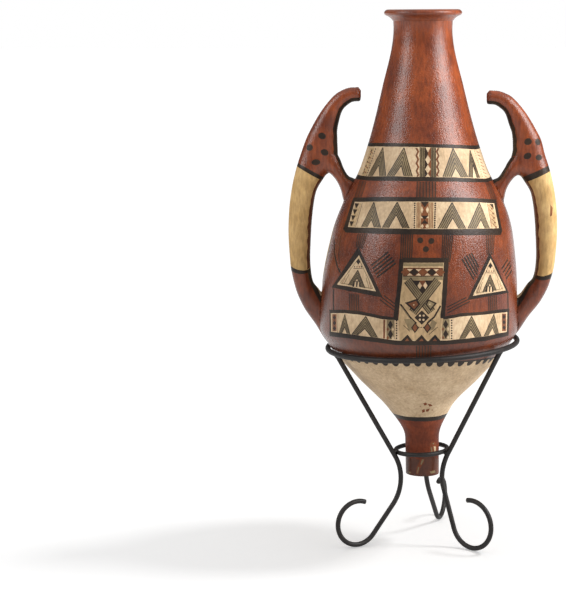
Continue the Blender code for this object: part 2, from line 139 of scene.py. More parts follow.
# Slip painted on burnished clay under a thin pine-resin varnish (IOR of resin about 1.54).
# Pattern scales are per metre: 40 gives patches of 25 mm, 900 gives grain of about 1 mm.
def slipMaterial(name, settings):
    material, tree = newMaterial(name)
    place = addNode(tree, "ShaderNodeTexCoord")
    cloud = addNode(tree, "ShaderNodeTexNoise", {"Scale": 28.0, "Detail": 4.0, "Roughness": 0.6},
                    {"Vector": place.outputs["Object"]})
    base = addNode(tree, "ShaderNodeValToRGB", None, {"Fac": cloud.outputs["Fac"]})
    base.color_ramp.elements[0].position = 0.34
    base.color_ramp.elements[0].color = toLinear(settings["deep"])
    base.color_ramp.elements[1].position = 0.68
    base.color_ramp.elements[1].color = toLinear(settings["light"])
    # Painted shade: the colour is darkened towards the bottom of the pot, where the body turns down away from
    # the light overhead. Heights in metres above the floor.
    parts = addNode(tree, "ShaderNodeSeparateXYZ", None, {"Vector": place.outputs["Object"]})
    paintedShadeLow = addNode(tree, "ShaderNodeMapRange", {"From Min": 0.26, "From Max": 0.62,
                                                 "To Min": settings["low"]}, {"Value": parts.outputs["Z"]})
    shaded = addNode(tree, "ShaderNodeVectorMath", {"operation": "SCALE"},
                     {0: base.outputs["Color"], "Scale": paintedShadeLow.outputs["Result"]})
    # Brush and burnishing marks run along the pot, finer across than along.
    streakPlace = addNode(tree, "ShaderNodeMapping", {"Scale": (1.0, 1.0, settings["streakAlong"])},
                          {"Vector": place.outputs["Object"]})
    streak = addNode(tree, "ShaderNodeTexNoise", {"Scale": 310.0, "Detail": 3.0, "Roughness": 0.6},
                     {"Vector": streakPlace.outputs["Vector"]})
    streaked = addNode(tree, "ShaderNodeMix",
                       {"data_type": "RGBA", "blend_type": "OVERLAY", 0: settings["streak"]},
                       {6: shaded.outputs["Vector"], 7: streak.outputs["Fac"]})
    # Specks of temper and pinholes that show through the slip.
    speck = addNode(tree, "ShaderNodeTexVoronoi", {"Scale": 260.0, "Randomness": 1.0},
                    {"Vector": place.outputs["Object"]})
    speckMask = addNode(tree, "ShaderNodeMapRange",
                        {"From Min": 0.05, "From Max": 0.16, "To Min": 1.0, "To Max": 0.0},
                        {"Value": speck.outputs["Distance"]})
    patch = addNode(tree, "ShaderNodeTexNoise", {"Scale": 60.0, "Detail": 2.0},
                    {"Vector": place.outputs["Object"]})
    patchMask = addNode(tree, "ShaderNodeMapRange", {"From Min": 0.5, "From Max": 0.62},
                        {"Value": patch.outputs["Fac"]})
    speckShare = addNode(tree, "ShaderNodeMath", {"operation": "MULTIPLY"},
                         {0: speckMask.outputs["Result"], 1: patchMask.outputs["Result"]})
    speckScaled = addNode(tree, "ShaderNodeMath", {"operation": "MULTIPLY", 1: settings["specks"]},
                          {0: speckShare.outputs["Value"]})
    specked = addNode(tree, "ShaderNodeMix", {"data_type": "RGBA", 7: toLinear(settings["speckColour"])},
                      {0: speckScaled.outputs["Value"], 6: streaked.outputs[2]})
    grain = addNode(tree, "ShaderNodeTexNoise", {"Scale": 520.0, "Detail": 2.0, "Roughness": 0.6},
                    {"Vector": place.outputs["Object"]})
    height = addNode(tree, "ShaderNodeMath", {"operation": "MULTIPLY_ADD", 1: 0.6},
                     {0: streak.outputs["Fac"], 2: grain.outputs["Fac"]})
    bump = addNode(tree, "ShaderNodeBump", {"Strength": settings["bump"], "Distance": 0.0006},
                   {"Height": height.outputs["Value"]})
    rough = addNode(tree, "ShaderNodeMapRange",
                    {"To Min": settings["rough"] - 0.07, "To Max": settings["rough"] + 0.10},
                    {"Value": cloud.outputs["Fac"]})
    shader = addNode(tree, "ShaderNodeBsdfPrincipled",
                     {"IOR": 1.5, "Specular IOR Level": 0.15, "Coat Weight": settings["varnish"],
                      "Coat Roughness": settings["varnishRough"], "Coat IOR": 1.54},
                     {"Base Color": specked.outputs[2], "Roughness": rough.outputs["Result"],
                      "Normal": bump.outputs["Normal"], "Coat Normal": bump.outputs["Normal"]})
    addNode(tree, "ShaderNodeOutputMaterial", None, {"Surface": shader.outputs["BSDF"]})
    return material


# The column low is the share of the colour that the painted shade leaves at the bottom of the pot.
slipColumns = ("deep", "light", "streak", "streakAlong", "specks", "speckColour", "low", "bump", "rough",
               "varnish", "varnishRough")
slipTable = {
    # Iron-red slip, burnished and varnished: the deep gloss.
    "redSlip": ("#672A10", "#90431A", 0.75, 0.16, 0.35, "#431A0E", 0.47, 0.7, 0.55, 0.9, 0.19),
    # Pale clay slip, matt and chalky.
    "creamSlip": ("#B79B79", "#D2B896", 0.5, 0.5, 0.4, "#8A6B42", 0.98, 0.45, 0.6, 0.12, 0.35),
    # Cream slip yellowed by handling.
    "wornCream": ("#B48F59", "#D0AC76", 0.55, 0.25, 0.4, "#7A5A33", 0.85, 0.55, 0.62, 0.12, 0.38),
    # Cream slip under old varnish.
    "agedCream": ("#A48965", "#C2A47C", 0.55, 0.4, 0.5, "#7A5A33", 0.95, 0.5, 0.6, 0.15, 0.35),
    # Dark mineral paint, thin and brownish.
    "darkPaint": ("#1C130E", "#38291C", 0.25, 0.5, 0.25, "#6B4433", 0.8, 0.6, 0.52, 0.3, 0.3),
    # Thinned dark paint over cream.
    "olivePaint": ("#74634A", "#94815F", 0.35, 0.5, 0.3, "#B9A274", 0.9, 0.5, 0.56, 0.2, 0.32),
    # Thinned red slip over cream.
    "orangePaint": ("#60351E", "#85502F", 0.35, 0.5, 0.4, "#4A2A1C", 0.9, 0.5, 0.5, 0.35, 0.28),
    # Thinned dark paint over red.
    "plumPaint": ("#4C2413", "#6B3820", 0.35, 0.4, 0.3, "#33160F", 0.8, 0.6, 0.5, 0.45, 0.24),
    # Red slip rubbed dull at the foot.
    "footSlip": ("#5E2A19", "#8F4529", 0.45, 0.6, 0.6, "#8A6548", 0.8, 0.6, 0.6, 0.15, 0.4),
    # Fired clay without slip.
    "bareClay": ("#6F3A26", "#8A5238", 0.4, 0.6, 0.6, "#4A2A1C", 0.9, 0.6, 0.75, 0.0, 0.5),
}
slipSettings = {name: dict(zip(slipColumns, row)) for name, row in slipTable.items()}
slipNames = list(slipSettings)
slipMaterials = [slipMaterial(name, slipSettings[name]) for name in slipNames]
print("slips ready")


jarShape = {
    "stations": [(0, 23.5), (52, 24.0), (95, 44.4), (142.5, 88.35), (190, 128.3), (213.5, 138.7),
                 (267, 136.5), (343, 125.5), (393, 108.5), (435, 87.1), (543, 56.4), (624.5, 40.4),
                 (634.5, 40.9)],
    "sway": [(0, 1.5), (52, 0.75), (121, -5.5), (190, -5.5), (267, -4.5), (393, 0.5), (624.5, -1.5),
             (650, -1.5)],
    "lip": [(42.0, 635.4), (43.2, 637.2), (45.6, 639.4), (48.6, 641.1), (51.4, 642.3), (52.7, 643.4),
            (53.3, 645.2), (53.1, 646.6), (52.2, 648.0), (50.8, 649.2), (49.4, 649.8), (48.0, 650.0)],
    "mouth": [(44.4, 650.0), (43.4, 649.5), (42.4, 647.6), (39.6, 642.6), (36.6, 637.0), (34.0, 630.5),
              (32.4, 624.5)],
    "wall": 8.0, "wallRows": 60, "wallTop": 616.0, "bottom": 88.0, "unevenness": 0.35,
    "columns": 224, "rowStep": 4.0, "turnRadius": 130.0,
}


def smoothCurve(points):
    xs = np.array([point[0] for point in points], float)
    ys = np.array([point[1] for point in points], float)
    step = np.diff(xs)
    slope = np.diff(ys) / step
    lean = np.zeros(len(xs))
    lean[0] = slope[0]
    lean[-1] = slope[-1]
    for k in range(1, len(xs) - 1):
        if slope[k - 1] * slope[k] > 0:
            lean[k] = 2 * slope[k - 1] * slope[k] / (slope[k - 1] + slope[k])

    def read(x):
        x = min(max(x, xs[0]), xs[-1])
        k = min(int(np.searchsorted(xs, x, side="right")) - 1, len(step) - 1)
        t = (x - xs[k]) / step[k]
        ease = t * t * (3 - 2 * t)
        bend = lean[k] * t * (1 - t) ** 2 - lean[k + 1] * t * t * (1 - t)
        return float(ys[k] + (ys[k + 1] - ys[k]) * ease + step[k] * bend)

    return read


jarRadius = smoothCurve(jarShape["stations"])
jarSway = smoothCurve(jarShape["sway"])
throatTop = jarShape["stations"][-1][0]


def handBuilt(turn, z):
    spot = Vector((math.sin(turn) * 1.3, math.cos(turn) * 1.3, z / 90))
    return (noise.noise(spot) - 1.0) * 0.5 * jarShape["unevenness"] * min(1.0, z / 60)


def ringPoint(radius, turn, z):
    return Vector((axisX + (jarSway(z) + radius * math.sin(turn)) * mm, -radius * math.cos(turn) * mm,
                   footZ + z * mm))


def jarPoint(u, z):
    turn = u / jarShape["turnRadius"]
    return ringPoint(jarRadius(z) + handBuilt(turn, z), turn, z)


# Where the sight line of a pixel meets the jar, as distance round and height.
def onJar(px, py):
    line = sightLine(px, py)
    best = None
    before = None
    start = cameraSettings["distance"] * mm - 0.2
    for k in range(176):
        along = start + 0.002 * k
        spot = viewPlace + line * along
        z = (spot.z - footZ) / mm
        dx = (spot.x - axisX) / mm - jarSway(z)
        dy = spot.y / mm
        gap = math.hypot(dx, dy) - jarRadius(z)
        if best is None or gap < best[0]:
            best = (gap, dx, dy, z)
        if gap <= 0:
            share = before[0] / (before[0] - gap)
            dx, dy, z = [a + (b - a) * share for a, b in zip(before[1:], (dx, dy, z))]
            best = (0, dx, dy, z)
            break
        before = (gap, dx, dy, z)
    return math.atan2(best[1], -best[2]) * jarShape["turnRadius"], best[3]


# Shapes of paint on an unrolled surface, the later over the earlier.
class Painting:
    def __init__(self, place, onSurface, stretch, wobble):
        self.place = place
        self.onSurface = onSurface
        self.stretch = stretch
        self.wobble = wobble
        self.shapes = []

    def unsteady(self, u, v):
        spot = self.place(u, v) / mm
        shift = self.wobble
        du = noise.noise(spot / 7) * 0.5 + noise.noise(spot / 22) * 0.8
        fine = noise.noise(spot / 7 + Vector((50, 0, 0)))
        coarse = noise.noise(spot / 22 + Vector((0, 50, 0)))
        dv = fine * 0.5 + coarse * 0.8
        return u + du * shift / self.stretch(u, v), v + dv * shift

    # A closed shape given on the unrolled surface.
    def flat(self, slip, points):
        outline = []
        for k, first in enumerate(points):
            second = points[(k + 1) % len(points)]
            pieces = max(1, round(math.dist(first, second) / 5.0))
            for j in range(pieces):
                u = first[0] + (second[0] - first[0]) * j / pieces
                v = first[1] + (second[1] - first[1]) * j / pieces
                outline.append(self.unsteady(u, v))
        area = sum(a[0] * b[1] - b[0] * a[1] for a, b in zip(outline, outline[1:] + outline[:1]))
        if area < 0:
            outline.reverse()
        if abs(area) > 0.4:
            self.shapes.append((slipNames.index(slip), outline))

    # A closed shape given in the photograph's pixels.
    def shape(self, slip, pixels):
        outline = []
        for k, first in enumerate(pixels):
            second = pixels[(k + 1) % len(pixels)]
            pieces = max(1, round(math.dist(first, second) / 6.0))
            for j in range(pieces):
                outline.append(self.onSurface(first[0] + (second[0] - first[0]) * j / pieces,
                                              first[1] + (second[1] - first[1]) * j / pieces))
        self.flat(slip, outline)

    # A brush stroke along pixels of the photograph, with its width in millimetres.
    def stroke(self, slip, pixels, width):
        line = []
        for first, second in zip(pixels[:-1], pixels[1:]):
            pieces = max(1, round(math.dist(first, second) / 4.0))
            for j in range(pieces):
                line.append(self.onSurface(first[0] + (second[0] - first[0]) * j / pieces,
                                           first[1] + (second[1] - first[1]) * j / pieces))
        line.append(self.onSurface(*pixels[-1]))
        self.ribbon(slip, line, width)

    def ribbon(self, slip, line, width):
        left, right = [], []
        for k, (u, v) in enumerate(line):
            before = line[max(k - 1, 0)]
            after = line[min(k + 1, len(line) - 1)]
            scale = self.stretch(u, v)
            du = (after[0] - before[0]) * scale
            dv = after[1] - before[1]
            length = math.hypot(du, dv) or 1.0
            half = width * (0.5 + 0.10 * noise.noise(Vector((u / 9, v / 9, 3.0))))
            left.append((u - dv / length * half / scale, v + du / length * half))
            right.append((u + dv / length * half / scale, v - du / length * half))
        for k in range(len(line) - 1):
            self.flat(slip, [left[k], left[k + 1], right[k + 1], right[k]])

    def dot(self, slip, px, py, radius):
        u, v = self.onSurface(px, py)
        scale = self.stretch(u, v)
        count = 12 if radius > 2 else 8
        points = []
        for k in range(count):
            turn = math.tau * k / count
            points.append((u + radius * math.cos(turn) / scale, v + radius * math.sin(turn)))
        self.flat(slip, points)


# Cuts a grid along every painted outline and gives each face the topmost paint.
def paintedSheet(painting, low, high, columns, rows, baseSlip):
    width = high[0] - low[0]
    height = high[1] - low[1]
    corners = []
    for r in range(rows + 1):
        for c in range(columns + 1):
            corners.append((low[0] + width * c / columns, low[1] + height * r / rows))
    border = list(range(columns))
    border += [r * (columns + 1) + columns for r in range(rows)]
    border += [rows * (columns + 1) + columns - c for c in range(columns)]
    border += [(rows - r) * (columns + 1) for r in range(rows)]
    faces = [border]
    slips = [slipNames.index(baseSlip)]
    for slip, outline in painting.shapes:
        start = len(corners)
        for u, v in outline:
            corners.append((min(max(u, low[0]), high[0]), min(max(v, low[1]), high[1])))
        faces.append(list(range(start, len(corners))))
        slips.append(slip)
    places = [Vector(corner) for corner in corners]
    points, _, triangles, _, _, owners = delaunay_2d_cdt(places, [], faces, 1, 0.02, True)
    topSlips = [slips[max(owner)] if owner else slips[0] for owner in owners]
    return [(point.x, point.y) for point in points], triangles, topSlips


def meshObject(name, points, faces, slips):
    mesh = bpy.data.meshes.new(name)
    mesh.from_pydata([tuple(point) for point in points], [], faces)
    for material in slipMaterials:
        mesh.materials.append(material)
    mesh.polygons.foreach_set("material_index", slips)
    built = bpy.data.objects.new(name, mesh)
    bpy.context.scene.collection.objects.link(built)
    return built


def weld(built, distance):
    builder = bmesh.new()
    builder.from_mesh(built.data)
    bmesh.ops.remove_doubles(builder, verts=builder.verts, dist=distance)
    bmesh.ops.dissolve_degenerate(builder, edges=builder.edges, dist=distance)
    bmesh.ops.recalc_face_normals(builder, faces=builder.faces)
    builder.to_mesh(built.data)
    builder.free()


halfTurn = math.pi * jarShape["turnRadius"]


def jarStretch(u, z):
    return jarRadius(z) / jarShape["turnRadius"]


jarPainting = Painting(jarPoint, onJar, jarStretch, 0.45)
patch = jarPainting.shape
stroke = jarPainting.stroke


# Height of a line that is painted round the jar through the given pixels of its front.
def levelCurve(pixels):
    spots = sorted(onJar(*pixel) for pixel in pixels)
    middle = (spots[0][1] + spots[-1][1]) / 2
    us = [-halfTurn, *[spot[0] for spot in spots], halfTurn]
    vs = [middle, *[spot[1] for spot in spots], middle]
    return lambda u: float(np.interp(u, us, vs))


def bandAround(slip, upper, lower, fromTurn=-180.0, toTurn=180.0):
    steps = max(2, round((toTurn - fromTurn) / 4))
    turns = [fromTurn + (toTurn - fromTurn) * k / steps for k in range(steps + 1)]
    us = [math.radians(turn) * jarShape["turnRadius"] for turn in turns]
    outline = [(u, lower(u)) for u in us] + [(u, upper(u)) for u in reversed(us)]
    jarPainting.flat(slip, outline)


def between(first, second, share):
    return (first[0] + (second[0] - first[0]) * share, first[1] + (second[1] - first[1]) * share)


# A pointed tent of two hatched limbs.
def chevron(apex, baseLeft, baseRight, innerApex, innerLeft, innerRight, lines=4):
    for outer, inner in ((baseLeft, innerLeft), (baseRight, innerRight)):
        patch("olivePaint", [apex, outer, inner, innerApex])
        for k in range(lines + 1):
            top = between(apex, innerApex, k / lines)
            foot = between(outer, inner, k / lines)
            stroke("darkPaint", [top, foot], 1.4 if k in (0, lines) else 0.95)


# Dark lines side by side on a ground of thinner paint.
def stripes(topLeft, topRight, bottomLeft, bottomRight, count, ground="plumPaint"):
    patch(ground, [topLeft, topRight, bottomRight, bottomLeft])
    for k in range(count):
        share = k / (count - 1)
        stroke("darkPaint", [between(topLeft, topRight, share), between(bottomLeft, bottomRight, share)],
               1.3)


def diamond(slip, px, py, halfWidth, halfHeight):
    patch(slip, [(px - halfWidth, py), (px, py - halfHeight), (px + halfWidth, py), (px, py + halfHeight)])


def dotRow(first, last, count, radius, slip="darkPaint"):
    for k in range(count):
        jarPainting.dot(slip, *between(first, last, k / (count - 1)), radius)


# The red ground covers the front. The back of the belly and the cone are plain cream slip.
paintEdges = {
    "left": [(345.4, 186.0), (342.8, 192.0), (339.2, 211.0), (333.4, 229.5), (328.6, 251.0), (323.6, 273.7),
             (321.4, 288.0), (320.2, 301.0), (316.0, 311.0), (311.0, 321.0), (316.0, 350.0)],
    "right": [(504.9, 190.0), (507.0, 202.5), (511.4, 217.3), (515.2, 234.0), (518.4, 254.5),
              (519.8, 277.0), (520.4, 293.0), (522.0, 305.0), (526.0, 316.0), (521.0, 348.0)],
    "line": 3.4, "lowTurn": 106.0, "lowHeight": 246.0,
}
lineATop = levelCurve([(369, 142.6), (396, 142.8), (424, 143.6), (452, 144.6), (476, 145.6)])
lineABottom = levelCurve([(369, 146.3), (396, 146.4), (424, 147.1), (452, 148.1), (476, 149.4)])
floorA = levelCurve([(362, 175.8), (390, 176.3), (424, 176.8), (455, 177.4), (486, 178.6)])
floorABottom = levelCurve([(362, 180.2), (390, 181.0), (424, 181.3), (455, 181.6), (486, 182.4)])
redTop = levelCurve([(350, 356), (424, 361), (497, 356)])
footTop = levelCurve([(424, 417.2)])
footLine = levelCurve([(424, 421.4)])
ground = lambda u: 0.0


# The painted front's edge: distance round for each height.
def frontEdge(pixels):
    spots = sorted((onJar(*pixel)[::-1] for pixel in pixels))
    heights = [spot[0] for spot in spots]
    around = [spot[1] for spot in spots]
    low = math.copysign(math.radians(paintEdges["lowTurn"]) * jarShape["turnRadius"], around[0])

    def read(z):
        share = min(max((paintEdges["lowHeight"] - z) / 30.0, 0.0), 1.0)
        return float(np.interp(z, heights, around)) * (1.0 - share) + low * share

    return read


backTop = levelCurve([(348, 196), (424, 196), (500, 197)])
backLine = lambda u: backTop(u) - 4.5
for side, limit in (("left", -halfTurn), ("right", halfTurn)):
    edge = frontEdge(paintEdges[side])
    heights = np.linspace(redTop(0), backTop(0), 50)
    jarPainting.flat("creamSlip", [(edge(z), z) for z in heights] + [(limit, z) for z in heights[::-1]])
    jarPainting.flat("darkPaint", [(edge(backTop(0)), backLine(0)), (limit, backLine(0)), (limit, backTop(0)),
                                   (edge(backTop(0)), backTop(0))])
    heights = np.linspace(redTop(0), onJar(*paintEdges[side][0])[1], 60)
    jarPainting.ribbon("darkPaint", [(edge(z), z) for z in heights], paintEdges["line"])
bandAround("creamSlip", redTop, footTop)
bandAround("footSlip", footLine, ground)
bandAround("darkPaint", footTop, footLine)

# Band A, on the lower neck.
bandAround("creamSlip", lineABottom, floorA)
bandAround("darkPaint", lineATop, lineABottom)
bandAround("darkPaint", floorA, floorABottom)
patch("agedCream", [(369.9, 148), (374.3, 148), (366.0, 175.8), (361.6, 175.8)])
for k in range(5):
    share = (k + 0.5) / 5
    start = between((370.8, 149.0), (362.8, 174.0), share)
    end = between((373.6, 151.0), (365.6, 175.6), share)
    stroke("orangePaint", [start, end], 1.3)
dotRow((371.5, 150.5), (363.0, 173.5), 7, 1.7)
dotRow((375.3, 149.0), (366.8, 175.0), 12, 1.2)
chevron((382.7, 147.6), (367.8, 175.9), (385.8, 176), (378.9, 165), (372.2, 175.9), (379.7, 176))
chevron((404.1, 147.7), (387.0, 176.1), (412.1, 176.4), (401.4, 165.4), (393.8, 176.2), (404.1, 176.3))
chevron((453.2, 148.3), (442.9, 176.9), (468.0, 177.3), (455.4, 167.7), (451.4, 177), (461.3, 177.2))
chevron((470.2, 150.0), (468.9, 177.4), (480.0, 177.8), (473.0, 164.5), (472.6, 177.5), (477.2, 177.7))
dotRow((474.6, 151.0), (482.6, 176.4), 12, 0.8, "orangePaint")
for k in range(8):
    share = k / 7
    start = between((476.6, 151.5), (484.6, 175.5), share)
    end = between((479.2, 152.6), (487.6, 177.6), share)
    stroke("orangePaint", [start, end], 1.1)
stripes((420.2, 147.4), (425.0, 147.4), (420.0, 176.9), (424.8, 176.9), 4, "olivePaint")
stripes((431.2, 147.6), (435.7, 147.7), (431.2, 177.1), (435.8, 177.1), 4, "olivePaint")
patch("darkPaint", [(425, 147.4), (428, 147.4), (428, 177), (425, 177)])
patch("orangePaint", [(428, 147.4), (431, 147.4), (431, 177), (428, 177)])
patch("creamSlip", [(425.6, 147.4), (430.6, 147.4), (428.1, 152.4)])
diamond("creamSlip", 428.0, 159.6, 2.7, 4.8)
diamond("creamSlip", 427.9, 169.2, 2.7, 4.6)
patch("creamSlip", [(425.4, 177), (430.6, 177), (428.0, 173.6)])
for column, lean in ((417.6, -1.0), (437.6, 1.0)):
    wave = [(column + lean * 0.9 * math.cos(k * math.pi / 2), 148.0 + k * 1.9) for k in range(16)]
    stroke("orangePaint", wave, 1.9)
    stroke("darkPaint", [(x + lean * 0.9, y) for x, y in wave], 0.7)

# The red strip between the bands.
stripes((417.0, 181.6), (435.5, 181.7), (416.8, 197.3), (435.6, 197.4), 7)
stripes((359.8, 181.0), (366.2, 181.2), (354.0, 198.6), (360.6, 198.4), 3)
stripes((485.4, 182.0), (490.2, 182.4), (491.8, 199.4), (497.0, 200.0), 3)

# Band B, on the shoulder.
patch("darkPaint", [(353.2, 197.6), (388, 196.8), (424, 197.2), (460, 197.3), (496.2, 199.4),
                    (502.4, 231.0), (500.8, 235.0), (460, 235.4), (424, 234.8), (388, 234.2),
                    (345.2, 232.6), (343.0, 229.0)])
patch("creamSlip", [(354.6, 201.9), (388, 201.4), (424, 201.6), (460, 201.8), (494.2, 203.2),
                    (499.0, 228.2), (460, 229.0), (424, 229.0), (388, 228.4), (347.8, 227.2)])
patch("agedCream", [(355.4, 203.4), (361.4, 203.2), (354.6, 226.6), (348.8, 226.4)])
for k in range(4):
    x = 357.6 - k * 1.75
    y = 206.0 + k * 6.0
    patch("darkPaint", [(x - 3.0, y - 2.6), (x + 1.6, y - 2.6), (x - 1.6, y + 2.8)])
    patch("creamSlip", [(x + 1.0, y - 0.6), (x + 2.8, y - 1.0), (x + 0.4, y + 3.0)])
stroke("darkPaint", [(362.2, 203.2), (355.6, 226.8)], 0.9)
chevron((373.8, 202.2), (361.3, 227.0), (380.4, 227.6), (371.3, 219.4), (366.8, 227.2), (374.4, 227.4))
chevron((397.1, 202.0), (382.2, 227.6), (409.2, 228.2), (396.1, 214.6), (388.4, 227.8), (402.6, 228.0))
chevron((452.1, 202.4), (437.8, 228.6), (465.8, 228.6), (452.7, 217.8), (446.3, 228.6), (459.2, 228.6))
chevron((479.4, 202.9), (467.9, 228.4), (489.6, 228.2), (480.8, 219.2), (475.8, 228.4), (485.2, 228.3))
patch("agedCream", [(487.6, 203.6), (493.4, 203.9), (497.9, 227.4), (492.2, 227.6)])
stroke("orangePaint", [(487.6, 203.8), (492.0, 227.4)], 1.0)
patch("darkPaint", [(489.6, 203.8), (493.2, 203.9), (493.8, 209.0)])
for k in range(5):
    x = 489.4 + k * 1.0
    y = 206.5 + k * 4.6
    stroke("orangePaint", [(x - 0.8, y - 1.5), (x + 3.4, y + 2.5)], 1.0)
    patch("plumPaint", [(x + 1.8, y + 1.8), (x + 3.6, y + 1.6), (x + 2.8, y + 4.0)])
dotRow((414.8, 203.2), (414.4, 227.4), 12, 1.15)
dotRow((435.2, 203.2), (434.6, 227.4), 12, 1.25)
patch("agedCream", [(416.3, 202.0), (433.6, 202.0), (433.4, 228.6), (416.1, 228.6)])
for x in (417.2, 418.6, 420.0, 429.8, 431.2, 432.6):
    stroke("orangePaint", [(x, 202.4), (x - 0.2, 228.2)], 0.9)
patch("orangePaint", [(421.2, 202.0), (428.6, 202.0), (428.4, 228.6), (421.0, 228.6)])
patch("creamSlip", [(420.8, 216.4), (428.8, 216.4), (428.8, 218.0), (420.8, 218.0)])
patch("darkPaint", [(420.6, 201.8), (428.8, 201.8), (424.8, 207.4)])
diamond("creamSlip", 422.0, 209.8, 1.5, 3.6)
diamond("creamSlip", 427.4, 209.8, 1.5, 3.6)
patch("darkPaint", [(421.0, 215.6), (428.6, 215.6), (424.8, 219.6), (428.6, 223.6), (421.0, 223.6),
                    (424.6, 219.6)])
diamond("creamSlip", 422.4, 226.2, 1.6, 2.4)
diamond("creamSlip", 427.2, 226.2, 1.6, 2.4)

# The red field of the belly, with stripes that hang from band B.
stripes((358.0, 233.4), (367.2, 233.6), (355.8, 247.6), (362.0, 248.6), 5)
stripes((401.2, 234.4), (412.6, 234.6), (400.2, 262.0), (411.8, 260.0), 6)
stripes((442.4, 235.2), (453.0, 235.4), (441.8, 260.0), (449.8, 262.4), 6)
stripes((486.4, 235.0), (494.6, 234.8), (487.0, 255.0), (493.0, 255.0), 5)
for px, py in ((420.2, 240.4), (431.2, 241.2), (425.8, 249.2)):
    jarPainting.dot("darkPaint", px, py, 4.0)
patch("darkPaint", [(402, 257.6), (449, 257.8), (447.6, 263.0), (403, 262.8)])
slantedStrokes = [
    ((371.1, 265.6), (388.3, 252.0)), ((372.4, 268.9), (390.0, 254.8)), ((373.7, 272.0), (392.2, 257.4)),
    ((375.4, 274.8), (394.2, 260.2)), ((377.0, 277.6), (395.6, 263.2)), ((461.9, 258.8), (474.0, 279.7)),
    ((464.3, 257.0), (475.4, 277.0)), ((466.8, 255.6), (477.0, 274.4)), ((469.2, 254.2), (478.0, 271.4)),
    ((471.4, 253.2), (478.8, 267.4)), ((501.6, 269.0), (508.0, 259.4)), ((503.2, 272.4), (510.2, 261.8)),
    ((504.8, 275.8), (511.4, 265.2)), ((506.2, 279.0), (512.0, 270.2)),
]
for first, last in slantedStrokes:
    stroke("darkPaint", [first, last], 2.5)
stroke("darkPaint", [(333.8, 236.0), (334.4, 254.0), (337.0, 266.0), (340.4, 273.0)], 3.0)
stroke("darkPaint", [(340.8, 236.0), (338.4, 254.0), (339.4, 264.0)], 1.4)


# A cream triangle with a dark frame, a small diamond, a hatched tent and pegs in it.
def trianglePanel(apex, left, right, outerApex, outerLeft, outerRight):
    middle = between(left, right, 0.5)
    inward = lambda corner, share: between(corner, between(apex, middle, 0.62), share)
    patch("darkPaint", [outerApex, outerLeft, outerRight])
    patch("creamSlip", [apex, left, right])
    for first, last in ((apex, left), (apex, right), (left, right)):
        stroke("olivePaint", [inward(first, 0.17), inward(last, 0.17)], 1.1)
    top = between(apex, middle, 0.24)
    diamond("darkPaint", top[0], top[1] - 1.2, 2.1, 3.0)
    row = between(apex, middle, 0.36)
    for step in (-3.4, -1.1, 1.2, 3.5):
        jarPainting.dot("orangePaint" if abs(step) < 2 else "darkPaint", row[0] + step, row[1], 1.1)
    stroke("darkPaint", [(row[0] - 4.6, row[1] + 1.6), (row[0] + 4.6, row[1] + 1.9)], 0.7)
    tentTop = between(apex, middle, 0.46)
    tentLeft = between(left, right, 0.27)
    tentRight = between(left, right, 0.73)
    tentLeft = between(tentLeft, tentTop, 0.08)
    tentRight = between(tentRight, tentTop, 0.08)
    core = between(tentTop, middle, 0.42)
    coreLeft = between(tentLeft, tentRight, 0.24)
    coreRight = between(tentLeft, tentRight, 0.76)
    chevron(tentTop, tentLeft, tentRight, core, coreLeft, coreRight, 3)
    pegTop = between(tentTop, middle, 0.62)
    pegFoot = between(tentTop, middle, 0.94)
    pegs = [(pegTop[0] - 3.2, pegTop[1]), (pegTop[0] + 3.2, pegTop[1])]
    pegs += [(pegFoot[0] + 4.0, pegFoot[1]), (pegFoot[0] - 4.0, pegFoot[1])]
    patch("darkPaint", pegs)
    for step in (-2.0, 0.9):
        topX, topY = pegTop[0] + step, pegTop[1] + 0.6
        footX, footY = pegFoot[0] + step, pegFoot[1]
        patch("creamSlip", [(topX, topY), (topX + 1.3, topY), (footX + 1.5, footY), (footX - 0.2, footY)])
    for corner, far in ((left, right), (right, left)):
        foot = between(corner, far, 0.16)
        stroke("olivePaint", [between(foot, apex, 0.06), between(foot, apex, 0.36)], 1.2)
        stroke("orangePaint", [between(between(corner, far, 0.10), apex, 0.05),
                               between(between(corner, far, 0.10), apex, 0.24)], 0.9)


trianglePanel((358.9, 255.1), (336.9, 284.5), (375.8, 291.4), (358.4, 246.6), (331.4, 287.6), (382.6, 297.6))
trianglePanel((490.6, 258.8), (472.9, 295.8), (506.0, 290.4), (489.8, 252.6), (467.2, 300.2), (509.0, 292.8))
stripes((349.2, 293.6), (358.4, 294.6), (349.6, 311.2), (358.8, 312.0), 5)
stripes((488.4, 296.4), (496.6, 295.4), (488.8, 311.4), (497.2, 310.6), 5)
stroke("darkPaint", [(333.2, 289.0), (333.4, 311.0)], 3.4)
stroke("darkPaint", [(507.8, 292.0), (508.2, 309.6)], 3.4)
for k in range(3):
    stroke("darkPaint", [(379.6 + k * 2.2, 299.4 - k * 1.9), (396.4 + k * 0.6, 312.0 - k * 3.0)], 1.5)
    stroke("darkPaint", [(470.0 - k * 1.8, 301.6 - k * 2.1), (447.2, 313.2 - k * 2.9)], 1.5)

